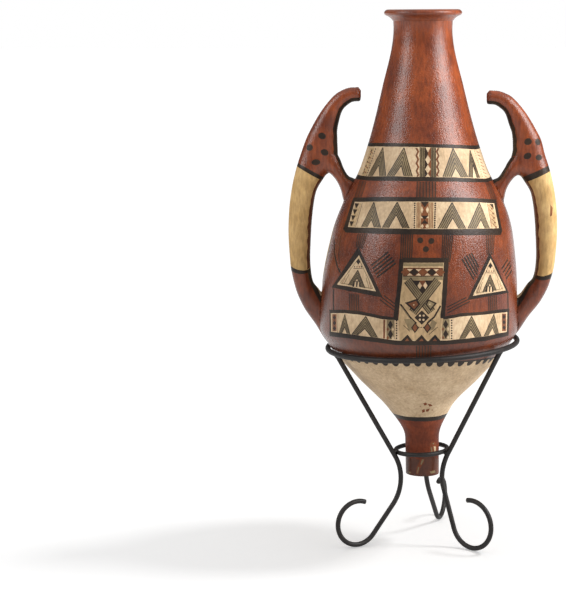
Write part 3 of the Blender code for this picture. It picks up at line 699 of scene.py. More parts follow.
# Band C, low on the belly.
patch("darkPaint", [(329.2, 309.8), (345, 309.6), (362, 311.4), (382, 315.8), (397, 317.6), (445, 316.4),
                    (460, 313.4), (480, 311.8), (509.6, 308.4), (508.6, 335.8), (484, 341.2), (450, 344.4),
                    (424, 345.6), (396, 345.0), (372, 341.8), (350, 338.6), (329.6, 336.2)])
patch("creamSlip", [(330.6, 313.2), (345, 313.0), (362, 314.9), (382, 319.2), (399, 320.4), (445, 319.6),
                    (460, 316.8), (480, 315.0), (507.4, 312.0), (506.8, 331.8), (484, 336.6), (450, 340.2),
                    (424, 341.0), (396, 340.6), (372, 337.2), (350, 334.2), (331.0, 331.6)])
for x0, x1, y0, y1 in ((332.2, 336.4, 314.2, 331.2), (502.2, 506.2, 313.4, 331.2)):
    patch("orangePaint", [(x0, y0), (x1, y0), (x1, y1), (x0, y1)])
    for k in range(3):
        diamond("darkPaint", (x0 + x1) / 2, y0 + 3.4 + k * 5.4, 1.6, 2.5)
stroke("olivePaint", [(337.8, 314.2), (337.4, 332.4)], 1.2)
chevron((344.7, 314.4), (339.2, 332.8), (349.8, 334.0), (344.5, 326.6), (341.8, 333.1), (347.0, 333.6), 3)
chevron((365.7, 316.4), (351.9, 334.3), (377.4, 337.8), (364.8, 328.4), (357.4, 335.1), (371.4, 337.0))
chevron((471.7, 316.2), (459.6, 339.0), (481.4, 336.8), (470.8, 329.4), (464.8, 338.4), (475.6, 337.4))
chevron((494.0, 314.0), (484.2, 336.2), (498.6, 333.6), (492.6, 327.4), (488.0, 335.6), (495.4, 334.2), 3)
for x0, x1 in ((383.0, 397.6), (438.6, 452.8)):
    y0 = 319.6 if x0 < 400 else 319.2
    stroke("orangePaint", [(x0 + 1.2, y0), (x0 + 1.0, 338.6)], 2.6)
    patch("olivePaint", [(x0 + 3.6, y0), (x1 - 3.0, y0), (x1 - 3.2, 339.2), (x0 + 3.4, 339.2)])
    for k in range(2):
        diamond("darkPaint", (x0 + x1) / 2, y0 + 5.2 + k * 9.6, 2.6, 4.6)
        diamond("orangePaint", (x0 + x1) / 2 - 2.7, y0 + 9.8 + k * 8.6, 1.2, 2.2)
        diamond("creamSlip", (x0 + x1) / 2 + 2.5, y0 + 9.8 + k * 8.6, 1.2, 2.2)
    dotRow((x1 - 1.0, y0 + 1.2), (x1 - 1.2, 338.4), 8, 1.2)

# The middle panel: a row of lenses, crossed hatched bars, small diamonds and side triangles.
patch("agedCream", [(402.8, 262.8), (444.4, 262.8), (443.2, 318.6), (440.0, 340.2), (399.6, 340.4),
                    (398.4, 319.0), (401.0, 290.0)])
stroke("darkPaint", [(401.4, 259.0), (400.6, 272.0), (399.0, 290.0), (397.0, 306.0), (395.4, 319.0)], 6.2)
stroke("darkPaint", [(446.6, 259.6), (445.8, 274.0), (444.8, 290.0), (443.6, 306.0), (442.6, 318.4)], 6.2)
patch("olivePaint", [(403.6, 263.2), (443.4, 263.2), (443.2, 266.4), (403.4, 266.4)])
patch("plumPaint", [(403.4, 268.0), (443.2, 268.0), (443.0, 276.0), (403.0, 276.0)])
for px, slip in ((405.4, "orangePaint"), (414.2, "darkPaint"), (423.0, "orangePaint"), (431.8, "darkPaint"),
                 (440.6, "orangePaint")):
    diamond(slip, px, 272.2, 4.6, 3.7)
for px in (409.8, 418.6, 427.4, 436.2):
    for top, tip in ((269.2, 271.6), (275.6, 273.2)):
        patch("creamSlip", [(px - 2.9, top), (px + 2.9, top), (px, tip)])
patch("olivePaint", [(403.0, 276.4), (443.0, 276.4), (442.8, 280.0), (402.8, 280.0)])
stroke("darkPaint", [(403.0, 276.4), (443.0, 276.4)], 0.8)
patch("darkPaint", [(411.6, 280.4), (433.6, 280.4), (422.6, 296.0)])
patch("orangePaint", [(419.4, 280.6), (425.4, 280.6), (422.4, 286.8)])
diamond("creamSlip", 419.6, 285.8, 2.2, 3.8)
diamond("creamSlip", 425.2, 285.6, 2.2, 3.8)
for start, end in (((407.4, 280.2), (431.6, 312.0)), ((438.0, 280.2), (412.6, 312.4))):
    dx = end[0] - start[0]
    dy = end[1] - start[1]
    length = math.hypot(dx, dy)
    across = (-dy / length * 3.8, dx / length * 3.8)
    corners = [(start[0] + across[0], start[1] + across[1]), (end[0] + across[0], end[1] + across[1]),
               (end[0] - across[0], end[1] - across[1]), (start[0] - across[0], start[1] - across[1])]
    patch("olivePaint", corners)
    for k in range(5):
        ends = [between(corners[0], corners[3], k / 4), between(corners[1], corners[2], k / 4)]
        stroke("darkPaint", ends, 1.5 if k in (0, 4) else 0.9)
lozenges = [
    ([(404.8, 302.6), (416.8, 298.8), (420.4, 304.4), (414.2, 311.6)], (414.2, 304.6), "orangePaint"),
    ([(428.0, 299.0), (437.0, 303.0), (430.4, 311.2), (425.4, 304.6)], (430.2, 304.4), "olivePaint"),
]
for outline, middle, slip in lozenges:
    patch("darkPaint", outline)
    patch(slip, [between(corner, middle, 0.36) for corner in outline])
    jarPainting.dot("creamSlip", middle[0] - 0.4, middle[1], 1.0)
stroke("darkPaint", [(400.4, 304.2), (409.4, 316.6), (416.4, 323.6)], 2.4)
stroke("olivePaint", [(401.2, 306.6), (409.0, 317.6)], 1.2)
stroke("darkPaint", [(440.6, 305.8), (434.2, 317.0), (427.0, 323.4)], 2.4)
patch("olivePaint", [(404.0, 319.0), (411.0, 318.6), (417.0, 325.0), (414.0, 330.6), (408.6, 330.0)])
patch("olivePaint", [(432.0, 319.4), (437.0, 322.6), (433.4, 329.6), (427.6, 331.4)])
diamond("darkPaint", 421.7, 317.6, 7.4, 7.2)
for px, py in ((419.9, 315.6), (423.6, 315.6), (419.7, 319.8), (423.4, 319.8)):
    jarPainting.dot("creamSlip", px, py, 1.5)
for px in (415.0, 427.4):
    diamond("darkPaint", px, 327.8, 4.0, 5.4)
    diamond("orangePaint", px, 327.8, 2.5, 3.8)
dotRow((419.0, 327.4), (423.6, 327.6), 3, 0.9)
stroke("darkPaint", [(403.6, 325.4), (409.8, 331.4)], 0.8)
stroke("darkPaint", [(437.8, 326.8), (429.2, 334.4)], 0.8)
for px in (406.8, 421.2, 434.6):
    patch("darkPaint", [(px - 6.0, 341.0), (px + 6.0, 341.0), (px + 0.6, 334.6)])
    patch("orangePaint", [(px - 2.2, 341.0), (px + 2.4, 341.0), (px + 0.4, 338.2)])

# Below band C: the red roll of the keel, then dark half discs on the cream under the iron ring.
stripes((416.4, 345.8), (431.0, 345.8), (416.6, 358.0), (430.8, 358.0), 6)
keelLine = lambda u: redTop(u) - 2.6
bandAround("darkPaint", redTop, keelLine)
for k in range(23):
    turn = -80.0 + k * 160.0 / 22
    u = math.radians(turn) * jarShape["turnRadius"]
    z = redTop(u) - 2.4
    half = [(u + 5.6 * math.cos(math.pi * j / 8), z - 6.6 * math.sin(math.pi * j / 8)) for j in range(9)]
    jarPainting.flat("darkPaint", half)

# Dirt round the bottom of the foot.
stain = lambda u: 27.0 + 3.0 * math.sin(u / 34) + 2.0 * math.sin(u / 13)
bandAround("plumPaint", stain, ground)

# Wear: flakes at the bottom of the cone, and pale scuffs on the foot.
coneFlakes = [
    [(423.0, 403.4), (426.0, 402.4), (427.4, 404.4), (424.8, 405.6)],
    [(427.6, 403.8), (430.8, 404.2), (432.6, 405.8), (429.6, 406.8)],
    [(421.8, 410.2), (424.6, 409.0), (425.2, 411.6), (422.4, 413.0)],
    [(426.0, 409.6), (429.8, 408.6), (428.8, 411.2), (426.4, 412.0)],
    [(419.6, 406.2), (420.8, 405.8), (420.6, 407.2)],
    [(431.8, 409.4), (433.0, 409.8), (432.0, 411.0)],
]
for points in coneFlakes:
    patch("bareClay", points)
footScuffs = [
    ([(429.6, 443.4), (432.6, 441.4), (436.2, 443.4), (437.2, 448.6), (435.4, 452.4), (431.6, 451.8),
      (430.0, 448.4)], "bareClay"),
    ([(430.6, 447.4), (432.0, 447.6), (432.4, 451.4), (431.2, 451.6)], "olivePaint"),
    ([(433.6, 446.4), (435.8, 446.8), (435.8, 450.8), (434.2, 451.4)], "creamSlip"),
    ([(432.4, 443.2), (434.6, 443.4), (433.4, 444.8)], "olivePaint"),
    ([(420.6, 458.6), (424.6, 459.0), (423.2, 463.6), (420.4, 467.4), (418.4, 474.2), (416.0, 474.0),
      (417.2, 466.2), (419.0, 462.6)], "bareClay"),
    ([(422.0, 459.4), (424.0, 459.8), (421.6, 464.8), (420.2, 464.4)], "olivePaint"),
    ([(418.2, 467.0), (419.4, 467.2), (417.8, 473.4), (416.8, 473.2)], "olivePaint"),
    ([(429.6, 471.6), (434.6, 470.4), (435.6, 472.4), (431.0, 473.6)], "olivePaint"),
    ([(408.6, 471.0), (411.8, 472.6), (409.0, 473.4)], "olivePaint"),
]
for points, slip in footScuffs:
    patch(slip, points)
print("painting laid out:", len(jarPainting.shapes), "shapes")


def buildJarBody():
    low = (-halfTurn, 0.0)
    high = (halfTurn, throatTop)
    rows = round(throatTop / jarShape["rowStep"])
    spots, triangles, slips = paintedSheet(jarPainting, low, high, jarShape["columns"], rows, "redSlip")
    points = [jarPoint(u, v) for u, v in spots]
    faces = [list(triangle) for triangle in triangles]
    columns = jarShape["columns"]
    turns = [-math.pi + math.tau * c / columns for c in range(columns)]
    wallRows = []
    throatFoot = jarShape["mouth"][-1][1]
    for k in range(1, jarShape["wallRows"] + 1):
        z = throatFoot + (jarShape["bottom"] - throatFoot) * k / jarShape["wallRows"]
        slope = jarRadius(z + 0.5) - jarRadius(z - 0.5)
        stretch = math.hypot(1.0, slope)
        wallRows.append((jarRadius(z) - jarShape["wall"] / stretch, z + jarShape["wall"] * slope / stretch))
    wallRows = [row for row in wallRows if row[1] < jarShape["wallTop"]]
    lastRadius, lastZ = wallRows[-1]
    for turn in (20, 40, 60, 78):
        angle = math.radians(turn)
        wallRows.append((lastRadius * math.cos(angle), lastZ - lastRadius * 0.45 * math.sin(angle)))
    profile = [(jarRadius(throatTop), throatTop, "redSlip")]
    profile += [(radius, z, "redSlip") for radius, z in jarShape["lip"] + jarShape["mouth"]]
    profile += [(radius, z, "bareClay") for radius, z in wallRows]
    strips = [(profile, wallRows[-1][1] - lastRadius * 0.01)]
    under = [(jarRadius(0), 0.0, "footSlip")]
    under += [(jarRadius(0) * share, 0.0, slip)
              for share, slip in ((0.96, "footSlip"), (0.5, "bareClay"), (0.12, "bareClay"))]
    strips.append((under, 0.0))
    for strip, middleZ in strips:
        start = len(points)
        for radius, z, slip in strip:
            points += [ringPoint(radius, turn, z) for turn in turns]
        for r in range(len(strip) - 1):
            for c in range(columns):
                after = (c + 1) % columns
                faces.append([start + r * columns + c, start + r * columns + after,
                              start + (r + 1) * columns + after, start + (r + 1) * columns + c])
                slips.append(slipNames.index(strip[r + 1][2]))
        points.append(ringPoint(0.0, 0.0, middleZ))
        rim = start + (len(strip) - 1) * columns
        for c in range(columns):
            faces.append([rim + c, rim + (c + 1) % columns, len(points) - 1])
            slips.append(slipNames.index("bareClay"))
    built = meshObject("water_jar", points, faces, slips)
    weld(built, 0.04 * mm)
    return built


jar = buildJarBody()
print("jar body:", len(jar.data.polygons), "faces")


handleShape = {
    "rows": [(150.0, 213, 146.0, 264, 15.0), (167.0, 238, 153.0, 273, 14.5),
             (178.0, 264, 156.0, 288, 14.0), (185.0, 298, 157.0, 307, 14.0), (187.6, 346, 155.5, 346, 14.0),
             (186.6, 372, 153.5, 370, 14.0), (183.0, 402, 149.0, 398, 14.5), (176.0, 433, 137.0, 420, 14.5),
             (169.0, 455, 118.0, 444, 14.0), (162.0, 474, 118.5, 462, 13.5), (153.0, 492, 119.0, 481, 12.5),
             (143.0, 509, 116.5, 498, 11.5), (131.0, 525, 112.0, 512, 10.5), (117.0, 538, 106.0, 519, 10.0),
             (100.0, 544.2, 96.0, 524.5, 9.5), (89.5, 544.5, 88.5, 525.0, 9.0),
             (87.0, 543.0, 86.6, 526.8, 7.6), (86.4, 540.0, 86.3, 529.5, 5.0)],
    "bridge": [(103.0, 421.5, 114.5, 403, 14.0), (110.0, 432.0, 121.0, 416, 14.0),
               (115.5, 446.0, 130.0, 425.5, 14.0), (124.0, 460.0, 142.0, 431, 12.0)],
    "gripMiddle": 347.0, "hornMiddle": 465.0, "hornReach": 40.0, "girth": 15.0,
    "left": {"side": -1.0, "upper": 1.0, "lower": 1.0, "hornTrim": 0.0, "gripTrim": 0.0,
             "foot": (185.0, 259.0), "arm": (418.0, 388.0)},
    "right": {"side": 1.0, "upper": 0.975, "lower": 0.90, "hornTrim": 4.5, "gripTrim": 2.0,
              "foot": (198.0, 256.0), "arm": (417.0, 388.0)},
}


def fitRow(row, own, isBridge):
    outerX, outerZ, innerX, innerZ, depth = row

    def stretched(z):
        above = z - handleShape["gripMiddle"]
        return handleShape["gripMiddle"] + above * (own["upper"] if above > 0 else own["lower"])

    def trim(z):
        near = max(0.0, 1.0 - abs(z - handleShape["hornMiddle"]) / handleShape["hornReach"])
        return own["hornTrim"] * near * near * (3 - 2 * near)

    if isBridge:
        return (outerX + trim(outerZ), stretched(outerZ), innerX, stretched(innerZ), depth)
    gripTrim = own["gripTrim"] if outerZ < handleShape["hornMiddle"] else 0.0
    return (outerX - gripTrim, stretched(outerZ), innerX + trim(innerZ), stretched(innerZ), depth)


# A row just under the body's skin, where a handle is joined to it.
def buriedRow(outerZ, innerZ, depth, sink, side):
    outerX = jarRadius(outerZ) + side * jarSway(outerZ) - sink
    innerX = jarRadius(innerZ) + side * jarSway(innerZ) - sink
    return (outerX, outerZ, innerX, innerZ, depth)


# A clay bar through rows of two edges and a depth, with its skin unrolled.
class Bar:
    def __init__(self, rows, side, girth):
        table = np.array(rows, float)
        middles = (table[:, 0:2] + table[:, 2:4]) / 2
        travel = np.concatenate(([0.0], np.cumsum(np.linalg.norm(np.diff(middles, axis=0), axis=1))))
        self.curves = [smoothCurve(list(zip(travel, table[:, c]))) for c in range(5)]
        self.length = float(travel[-1])
        self.side = side
        self.girth = girth

    def row(self, v):
        return [curve(v) for curve in self.curves]

    def place(self, u, v):
        outerX, outerZ, innerX, innerZ, depth = self.row(v)
        turn = u / self.girth
        x = (outerX + innerX) / 2 + (outerX - innerX) / 2 * math.sin(turn)
        z = (outerZ + innerZ) / 2 + (outerZ - innerZ) / 2 * math.sin(turn)
        return Vector((axisX + self.side * x * mm, -depth * math.cos(turn) * mm, footZ + z * mm))

    def stretch(self, u, v):
        outerX, outerZ, innerX, innerZ, depth = self.row(v)
        return (math.dist((outerX, outerZ), (innerX, innerZ)) / 2 + depth) / 2 / self.girth

    def onBar(self, px, py):
        line = sightLine(px, py)
        spot = viewPlace + line * ((-0.010 - viewPlace.y) / line.y)
        x = (spot.x - axisX) / mm * self.side
        z = (spot.z - footZ) / mm
        best = None
        for k in range(241):
            v = self.length * k / 240
            outerX, outerZ, innerX, innerZ, depth = self.row(v)
            middleX = (outerX + innerX) / 2
            middleZ = (outerZ + innerZ) / 2
            halfX = (outerX - innerX) / 2
            halfZ = (outerZ - innerZ) / 2
            share = ((x - middleX) * halfX + (z - middleZ) * halfZ) / (halfX ** 2 + halfZ ** 2)
            miss = math.dist((x, z), (middleX + halfX * share, middleZ + halfZ * share))
            if abs(share) < 1.4 and (best is None or miss < best[0]):
                best = (miss, share, v)
        share = min(max(best[1], -1.0), 1.0)
        return math.asin(share) * self.girth, best[2]


def buildBar(name, bar, painting, rowStep, columns):
    reach = math.pi * bar.girth
    rows = round(bar.length / rowStep)
    spots, triangles, slips = paintedSheet(painting, (-reach, 0.0), (reach, bar.length), columns, rows,
                                           "redSlip")
    points = [bar.place(u, v) for u, v in spots]
    faces = [list(triangle) for triangle in triangles]
    for v in (0.0, bar.length):
        start = len(points)
        points += [bar.place(-reach + 2 * reach * c / columns, v) for c in range(columns)]
        middle = sum((points[start + c] for c in range(columns)), Vector()) / columns
        inner = [middle.lerp(points[start + c], 0.5) for c in range(columns)]
        points += inner
        points.append(middle)
        for c in range(columns):
            after = (c + 1) % columns
            faces.append([start + c, start + after, start + columns + after, start + columns + c])
            faces.append([start + columns + c, start + columns + after, start + 2 * columns])
            slips += [slipNames.index("redSlip")] * 2
    built = meshObject(name, points, faces, slips)
    weld(built, 0.04 * mm)
    return built


# A band of paint that goes right round the grip. With below, it reaches down to that band.
def acrossBand(painting, bar, slip, outerPixel, innerPixel, thickness, below=None):
    def reader(outer, inner):
        outerSpot = bar.onBar(*outer)
        innerSpot = bar.onBar(*inner)
        outerSine = math.sin(outerSpot[0] / bar.girth)
        innerSine = math.sin(innerSpot[0] / bar.girth)
        slope = (outerSpot[1] - innerSpot[1]) / (outerSine - innerSine)
        return lambda u: innerSpot[1] + slope * (math.sin(u / bar.girth) - innerSine)
    top = reader(outerPixel, innerPixel)
    foot = reader(*below) if below else (lambda u: top(u) - thickness)
    reach = math.pi * bar.girth
    us = [-reach + 2 * reach * k / 36 for k in range(37)]
    painting.flat(slip, [(u, foot(u)) for u in us] + [(u, top(u)) for u in reversed(us)])


def edgeStripe(painting, bar, turn, fromV, toV, width, slip="darkPaint"):
    line = [(math.radians(turn) * bar.girth, v) for v in np.linspace(fromV, toV, 60)]
    painting.ribbon(slip, line, width)


handlePaint = {
    "left": {"gripTop": ((299.0, 167.5), (317.0, 178.0)), "gripFoot": ((290.5, 266.5), (307.0, 270.0)),
             "topBand": 5.5, "footBand": 5.5, "dots": [(322, 136), (309.5, 147), (325, 152), (316, 162)],
             "scratch": None},
    "right": {"gripTop": ((549.5, 171.5), (530.5, 180.5)), "gripFoot": ((552.0, 273.0), (535.0, 274.5)),
              "topBand": 8.5, "footBand": 6.0,
              "dots": [(528, 141.5), (538.2, 141.8), (527.5, 156.2), (539, 157.2)],
              "scratch": [(550.2, 204.5), (552.6, 208.0), (552.0, 215.5), (549.8, 217.0)]},
}


def buildHandle(label):
    own = handleShape[label]
    side = own["side"]
    girth = handleShape["girth"]
    paint = handlePaint[label]
    outerZ, innerZ = own["foot"]
    rows = [buriedRow(outerZ - 6.0, innerZ - 1.5, 15.5, 5.0, side)]
    rows += [buriedRow(outerZ, innerZ, 16.5, -0.5, side)]
    rows += [fitRow(row, own, False) for row in handleShape["rows"]]
    bar = Bar(rows, side, girth)
    painting = Painting(bar.place, bar.onBar, bar.stretch, 0.4)
    acrossBand(painting, bar, "wornCream", *paint["gripTop"], 0.0, paint["gripFoot"])
    acrossBand(painting, bar, "darkPaint", *paint["gripTop"], -paint["topBand"])
    acrossBand(painting, bar, "darkPaint", *paint["gripFoot"], paint["footBand"])
    gripTopV = bar.onBar(*paint["gripTop"][1])[1]
    gripFootV = bar.onBar(*paint["gripFoot"][1])[1]
    edgeStripe(painting, bar, 92.0, gripTopV + 8.0, bar.length - 4.0, 5.0)
    # Brown along the grip's inner side: partly dirt, partly painted shade where that side turns away from the
    # light.
    edgeStripe(painting, bar, -90.0, gripFootV, gripTopV, 23.0, "plumPaint")
    edgeStripe(painting, bar, -72.0, gripTopV + 38.0, bar.length - 1.0, 15.0)
    edgeStripe(painting, bar, -84.0, 0.0, 34.0, 26.0, "creamSlip")
    footLine = []
    for v in np.linspace(2.0, gripFootV - 1.0, 40):
        share = min(v / 46.0, 1.0)
        footLine.append((math.radians(-44.0 - 26.0 * share * share) * bar.girth, v))
    painting.ribbon("darkPaint", footLine, 13.0)
    for px, py in paint["dots"]:
        painting.dot("darkPaint", px, py, 4.6)
    if paint["scratch"]:
        painting.shape("orangePaint", paint["scratch"])
    grip = buildBar("grip_" + label, bar, painting, 3.0, 32)
    upperZ, lowerZ = own["arm"]
    bridgeRows = [buriedRow(upperZ - 3.0, lowerZ - 6.0, 14.5, 5.0, side)]
    bridgeRows += [buriedRow(upperZ, lowerZ, 15.0, -0.5, side)]
    bridgeRows += [fitRow(row, own, True) for row in handleShape["bridge"]]
    bridgeBar = Bar(bridgeRows, side, girth)
    bridgePainting = Painting(bridgeBar.place, bridgeBar.onBar, bridgeBar.stretch, 0.4)
    edgeStripe(bridgePainting, bridgeBar, 74.0, 2.0, bridgeBar.length - 2.0, 14.0)
    edgeStripe(bridgePainting, bridgeBar, -92.0, 2.0, bridgeBar.length - 2.0, 4.0)
    bridge = buildBar("bridge_" + label, bridgeBar, bridgePainting, 3.0, 32)
    return grip, bridge


def unite(target, others):
    for other in others:
        boolean = target.modifiers.new("join", "BOOLEAN")
        boolean.operation = "UNION"
        boolean.solver = "EXACT"
        boolean.object = other
    bpy.context.view_layer.update()
    graph = bpy.context.evaluated_depsgraph_get()
    mesh = bpy.data.meshes.new_from_object(target.evaluated_get(graph))
    mesh.name = target.name
    target.modifiers.clear()
    target.data = mesh
    for other in others:
        bpy.data.objects.remove(other, do_unlink=True)


handles = []
for label in ("left", "right"):
    grip, bridge = buildHandle(label)
    unite(grip, [bridge])
    handles.append(grip)
print("handles built")
unite(jar, handles)
print("handles joined:", len(jar.data.polygons), "faces")


# The potter pressed wet clay into the joints: the hollows beside the creases are filled up.
fillets = {"crease": 22.0, "reach": 13.0, "passes": 70,
           "zones": [(60.0, 200.0, 165.0, 285.0), (75.0, 200.0, 365.0, 470.0)]}


def smoothJoints(built, settings):
    builder = bmesh.new()
    builder.from_mesh(built.data)
    bmesh.ops.remove_doubles(builder, verts=builder.verts, dist=0.03 * mm)
    builder.verts.ensure_lookup_table()

    def inZone(spot):
        x = abs(spot.x - axisX) / mm
        z = (spot.z - footZ) / mm
        if abs(spot.y) >= 0.045:
            return False
        return any(zone[0] < x < zone[1] and zone[2] < z < zone[3] for zone in settings["zones"])

    seeds = set()
    for edge in builder.edges:
        if edge.is_manifold and edge.calc_face_angle_signed(0.0) < -math.radians(settings["crease"]):
            if inZone(edge.verts[0].co):
                seeds.update(edge.verts)
    tree = KDTree(len(seeds))
    for k, vertex in enumerate(seeds):
        tree.insert(vertex.co, k)
    tree.balance()
    near = {}
    for vertex in builder.verts:
        if abs(vertex.co.y) < 0.06 and abs(vertex.co.x - axisX) > 0.06:
            distance = tree.find(vertex.co)[2]
            away = math.hypot(vertex.co.x - axisX, vertex.co.y) / mm
            if distance is not None and distance < settings["reach"] * mm:
                if away > jarRadius((vertex.co.z - footZ) / mm) - 7.0:
                    near[vertex] = 1.0 - (distance / mm / settings["reach"]) ** 2
    for _ in range(settings["passes"]):
        moves = []
        for vertex, weight in near.items():
            others = [edge.other_vert(vertex).co for edge in vertex.link_edges]
            pull = sum(others, Vector()) / len(others) - vertex.co
            outward = pull.dot(vertex.normal)
            if outward > 0:
                moves.append((vertex, vertex.normal * (outward * weight)))
        for vertex, move in moves:
            vertex.co += move
        builder.normal_update()
    bmesh.ops.recalc_face_normals(builder, faces=builder.faces)
    builder.to_mesh(built.data)
    builder.free()
    built.data.shade_smooth()
    print("joints filled:", len(seeds), "crease points,", len(near), "points near them")


smoothJoints(jar, fillets)
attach(jar, "root")
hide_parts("jar")
print("jar finished:", len(jar.data.polygons), "faces")


# Mild steel rod blackened with oil at the forge, thinly waxed.
def ironMaterial():
    material, tree = newMaterial("blackenedIron")
    place = addNode(tree, "ShaderNodeTexCoord")
    scale = addNode(tree, "ShaderNodeTexNoise", {"Scale": 90.0, "Detail": 5.0, "Roughness": 0.65},
                    {"Vector": place.outputs["Object"]})
    colour = addNode(tree, "ShaderNodeValToRGB", None, {"Fac": scale.outputs["Fac"]})
    colour.color_ramp.elements[0].position = 0.35
    colour.color_ramp.elements[0].color = toLinear("#0D0A09")
    colour.color_ramp.elements[1].position = 0.72
    colour.color_ramp.elements[1].color = toLinear("#211A17")
    pit = addNode(tree, "ShaderNodeTexNoise", {"Scale": 700.0, "Detail": 3.0, "Roughness": 0.6},
                  {"Vector": place.outputs["Object"]})
    bump = addNode(tree, "ShaderNodeBump", {"Strength": 0.35, "Distance": 0.0005},
                   {"Height": pit.outputs["Fac"]})
    rough = addNode(tree, "ShaderNodeMapRange", {"To Min": 0.42, "To Max": 0.64},
                    {"Value": scale.outputs["Fac"]})
    shader = addNode(tree, "ShaderNodeBsdfPrincipled", {"IOR": 1.6, "Specular IOR Level": 0.35},
                     {"Base Color": colour.outputs["Color"], "Roughness": rough.outputs["Result"],
                      "Normal": bump.outputs["Normal"]})
    addNode(tree, "ShaderNodeOutputMaterial", None, {"Surface": shader.outputs["BSDF"]})
    return material


iron = ironMaterial()

standShape = {
    "upperRing": {"radius": 132.5, "height": 282.0, "rod": 3.75},
    "lowerRing": {"radius": 36.45, "height": 130.0, "rod": 3.25},
    "lean": 2.8, "legRod": 3.5, "bend": 60.0, "waist": 32.5, "contactGap": 7.3,
    "legs": {
        "leg_left": {"top": -62.5, "bend": -64.0, "foot": -60.0, "slack": 0.0, "reach": 102.0,
                     "scroll": 31.2, "tip": 112.0},
        "leg_right": {"top": 54.0, "bend": 62.0, "foot": 50.0, "slack": 4.0, "reach": 92.0,
                      "scroll": 33.8, "tip": 104.0},
        "leg_back": {"top": 174.0, "bend": 172.0, "foot": 165.0, "slack": 0.0, "reach": 108.0,
                     "scroll": 28.5, "tip": 112.0},
    },
    "forging": 0.22, "sides": 20,
}


# One node tree turns every centre line into forged rod.
def rodTree():
    tree = bpy.data.node_groups.new("forgedRod", "GeometryNodeTree")
    tree.interface.new_socket("Geometry", in_out="INPUT", socket_type="NodeSocketGeometry")
    tree.interface.new_socket("Radius", in_out="INPUT", socket_type="NodeSocketFloat")
    tree.interface.new_socket("Forging", in_out="INPUT", socket_type="NodeSocketFloat")
    tree.interface.new_socket("Geometry", in_out="OUTPUT", socket_type="NodeSocketGeometry")
    entry = addNode(tree, "NodeGroupInput")
    profile = addNode(tree, "GeometryNodeCurvePrimitiveCircle", {"Resolution": standShape["sides"]},
                      {"Radius": entry.outputs["Radius"]})
    rod = addNode(tree, "GeometryNodeCurveToMesh", {"Fill Caps": True},
                  {"Curve": entry.outputs["Geometry"], "Profile Curve": profile.outputs["Curve"]})
    hammer = addNode(tree, "ShaderNodeTexNoise", {"Scale": 55.0, "Detail": 2.0})
    centred = addNode(tree, "ShaderNodeMath", {"operation": "SUBTRACT", 1: 0.75}, {0: hammer.outputs["Fac"]})
    depth = addNode(tree, "ShaderNodeMath", {"operation": "MULTIPLY"},
                    {0: centred.outputs["Value"], 1: entry.outputs["Forging"]})
    normal = addNode(tree, "GeometryNodeInputNormal")
    push = addNode(tree, "ShaderNodeVectorMath", {"operation": "SCALE"},
                   {0: normal.outputs["Normal"], "Scale": depth.outputs["Value"]})
    shifted = addNode(tree, "GeometryNodeSetPosition", None,
                      {"Geometry": rod.outputs["Mesh"], "Offset": push.outputs["Vector"]})
    smooth = addNode(tree, "GeometryNodeSetShadeSmooth", None, {"Geometry": shifted.outputs["Geometry"]})
    real = addNode(tree, "GeometryNodeRealizeInstances", None, {"Geometry": smooth.outputs["Geometry"]})
    dressed = addNode(tree, "GeometryNodeSetMaterial", {"Material": iron},
                      {"Geometry": real.outputs["Geometry"]})
    addNode(tree, "NodeGroupOutput", None, {0: dressed.outputs["Geometry"]})
    return tree


rods = rodTree()


def socketName(tree, name):
    return next(item.identifier for item in tree.interface.items_tree
                if item.name == name and item.in_out == "INPUT")


def makeRod(name, line, radius, closed, node):
    curve = bpy.data.curves.new(name + "_line", "CURVE")
    curve.dimensions = "3D"
    spline = curve.splines.new("POLY")
    spline.points.add(len(line) - 1)
    for point, spot in zip(spline.points, line):
        point.co = (*spot, 1.0)
    spline.use_cyclic_u = closed
    source = bpy.data.objects.new(name + "_line", curve)
    bpy.context.scene.collection.objects.link(source)
    modifier = source.modifiers.new("forged", "NODES")
    modifier.node_group = rods
    modifier[socketName(rods, "Radius")] = radius * mm
    modifier[socketName(rods, "Forging")] = standShape["forging"] * mm
    bpy.context.view_layer.update()
    graph = bpy.context.evaluated_depsgraph_get()
    mesh = bpy.data.meshes.new_from_object(source.evaluated_get(graph))
    piece = bpy.data.objects.new(name, mesh)
    bpy.context.scene.collection.objects.link(piece)
    bpy.data.objects.remove(source, do_unlink=True)
    if not piece.data.materials:
        piece.data.materials.append(iron)
    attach(piece, "root")
    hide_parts(node)
    return piece


def leanRise(x):
    return x * math.tan(math.radians(standShape["lean"]))


def ringLine(ring):
    line = []
    lean = math.radians(standShape["lean"])
    for k in range(120):
        turn = math.tau * k / 120
        x = ring["radius"] * math.cos(turn)
        line.append(Vector((axisX + x * math.cos(lean) * mm, ring["radius"] * math.sin(turn) * mm,
                            (ring["height"] + x * math.sin(lean)) * mm)))
    return line


def arc(centre, radius, start, finish, pieces):
    return [(centre[0] + radius * math.cos(start + (finish - start) * k / pieces),
             centre[1] + radius * math.sin(start + (finish - start) * k / pieces)) for k in range(pieces + 1)]


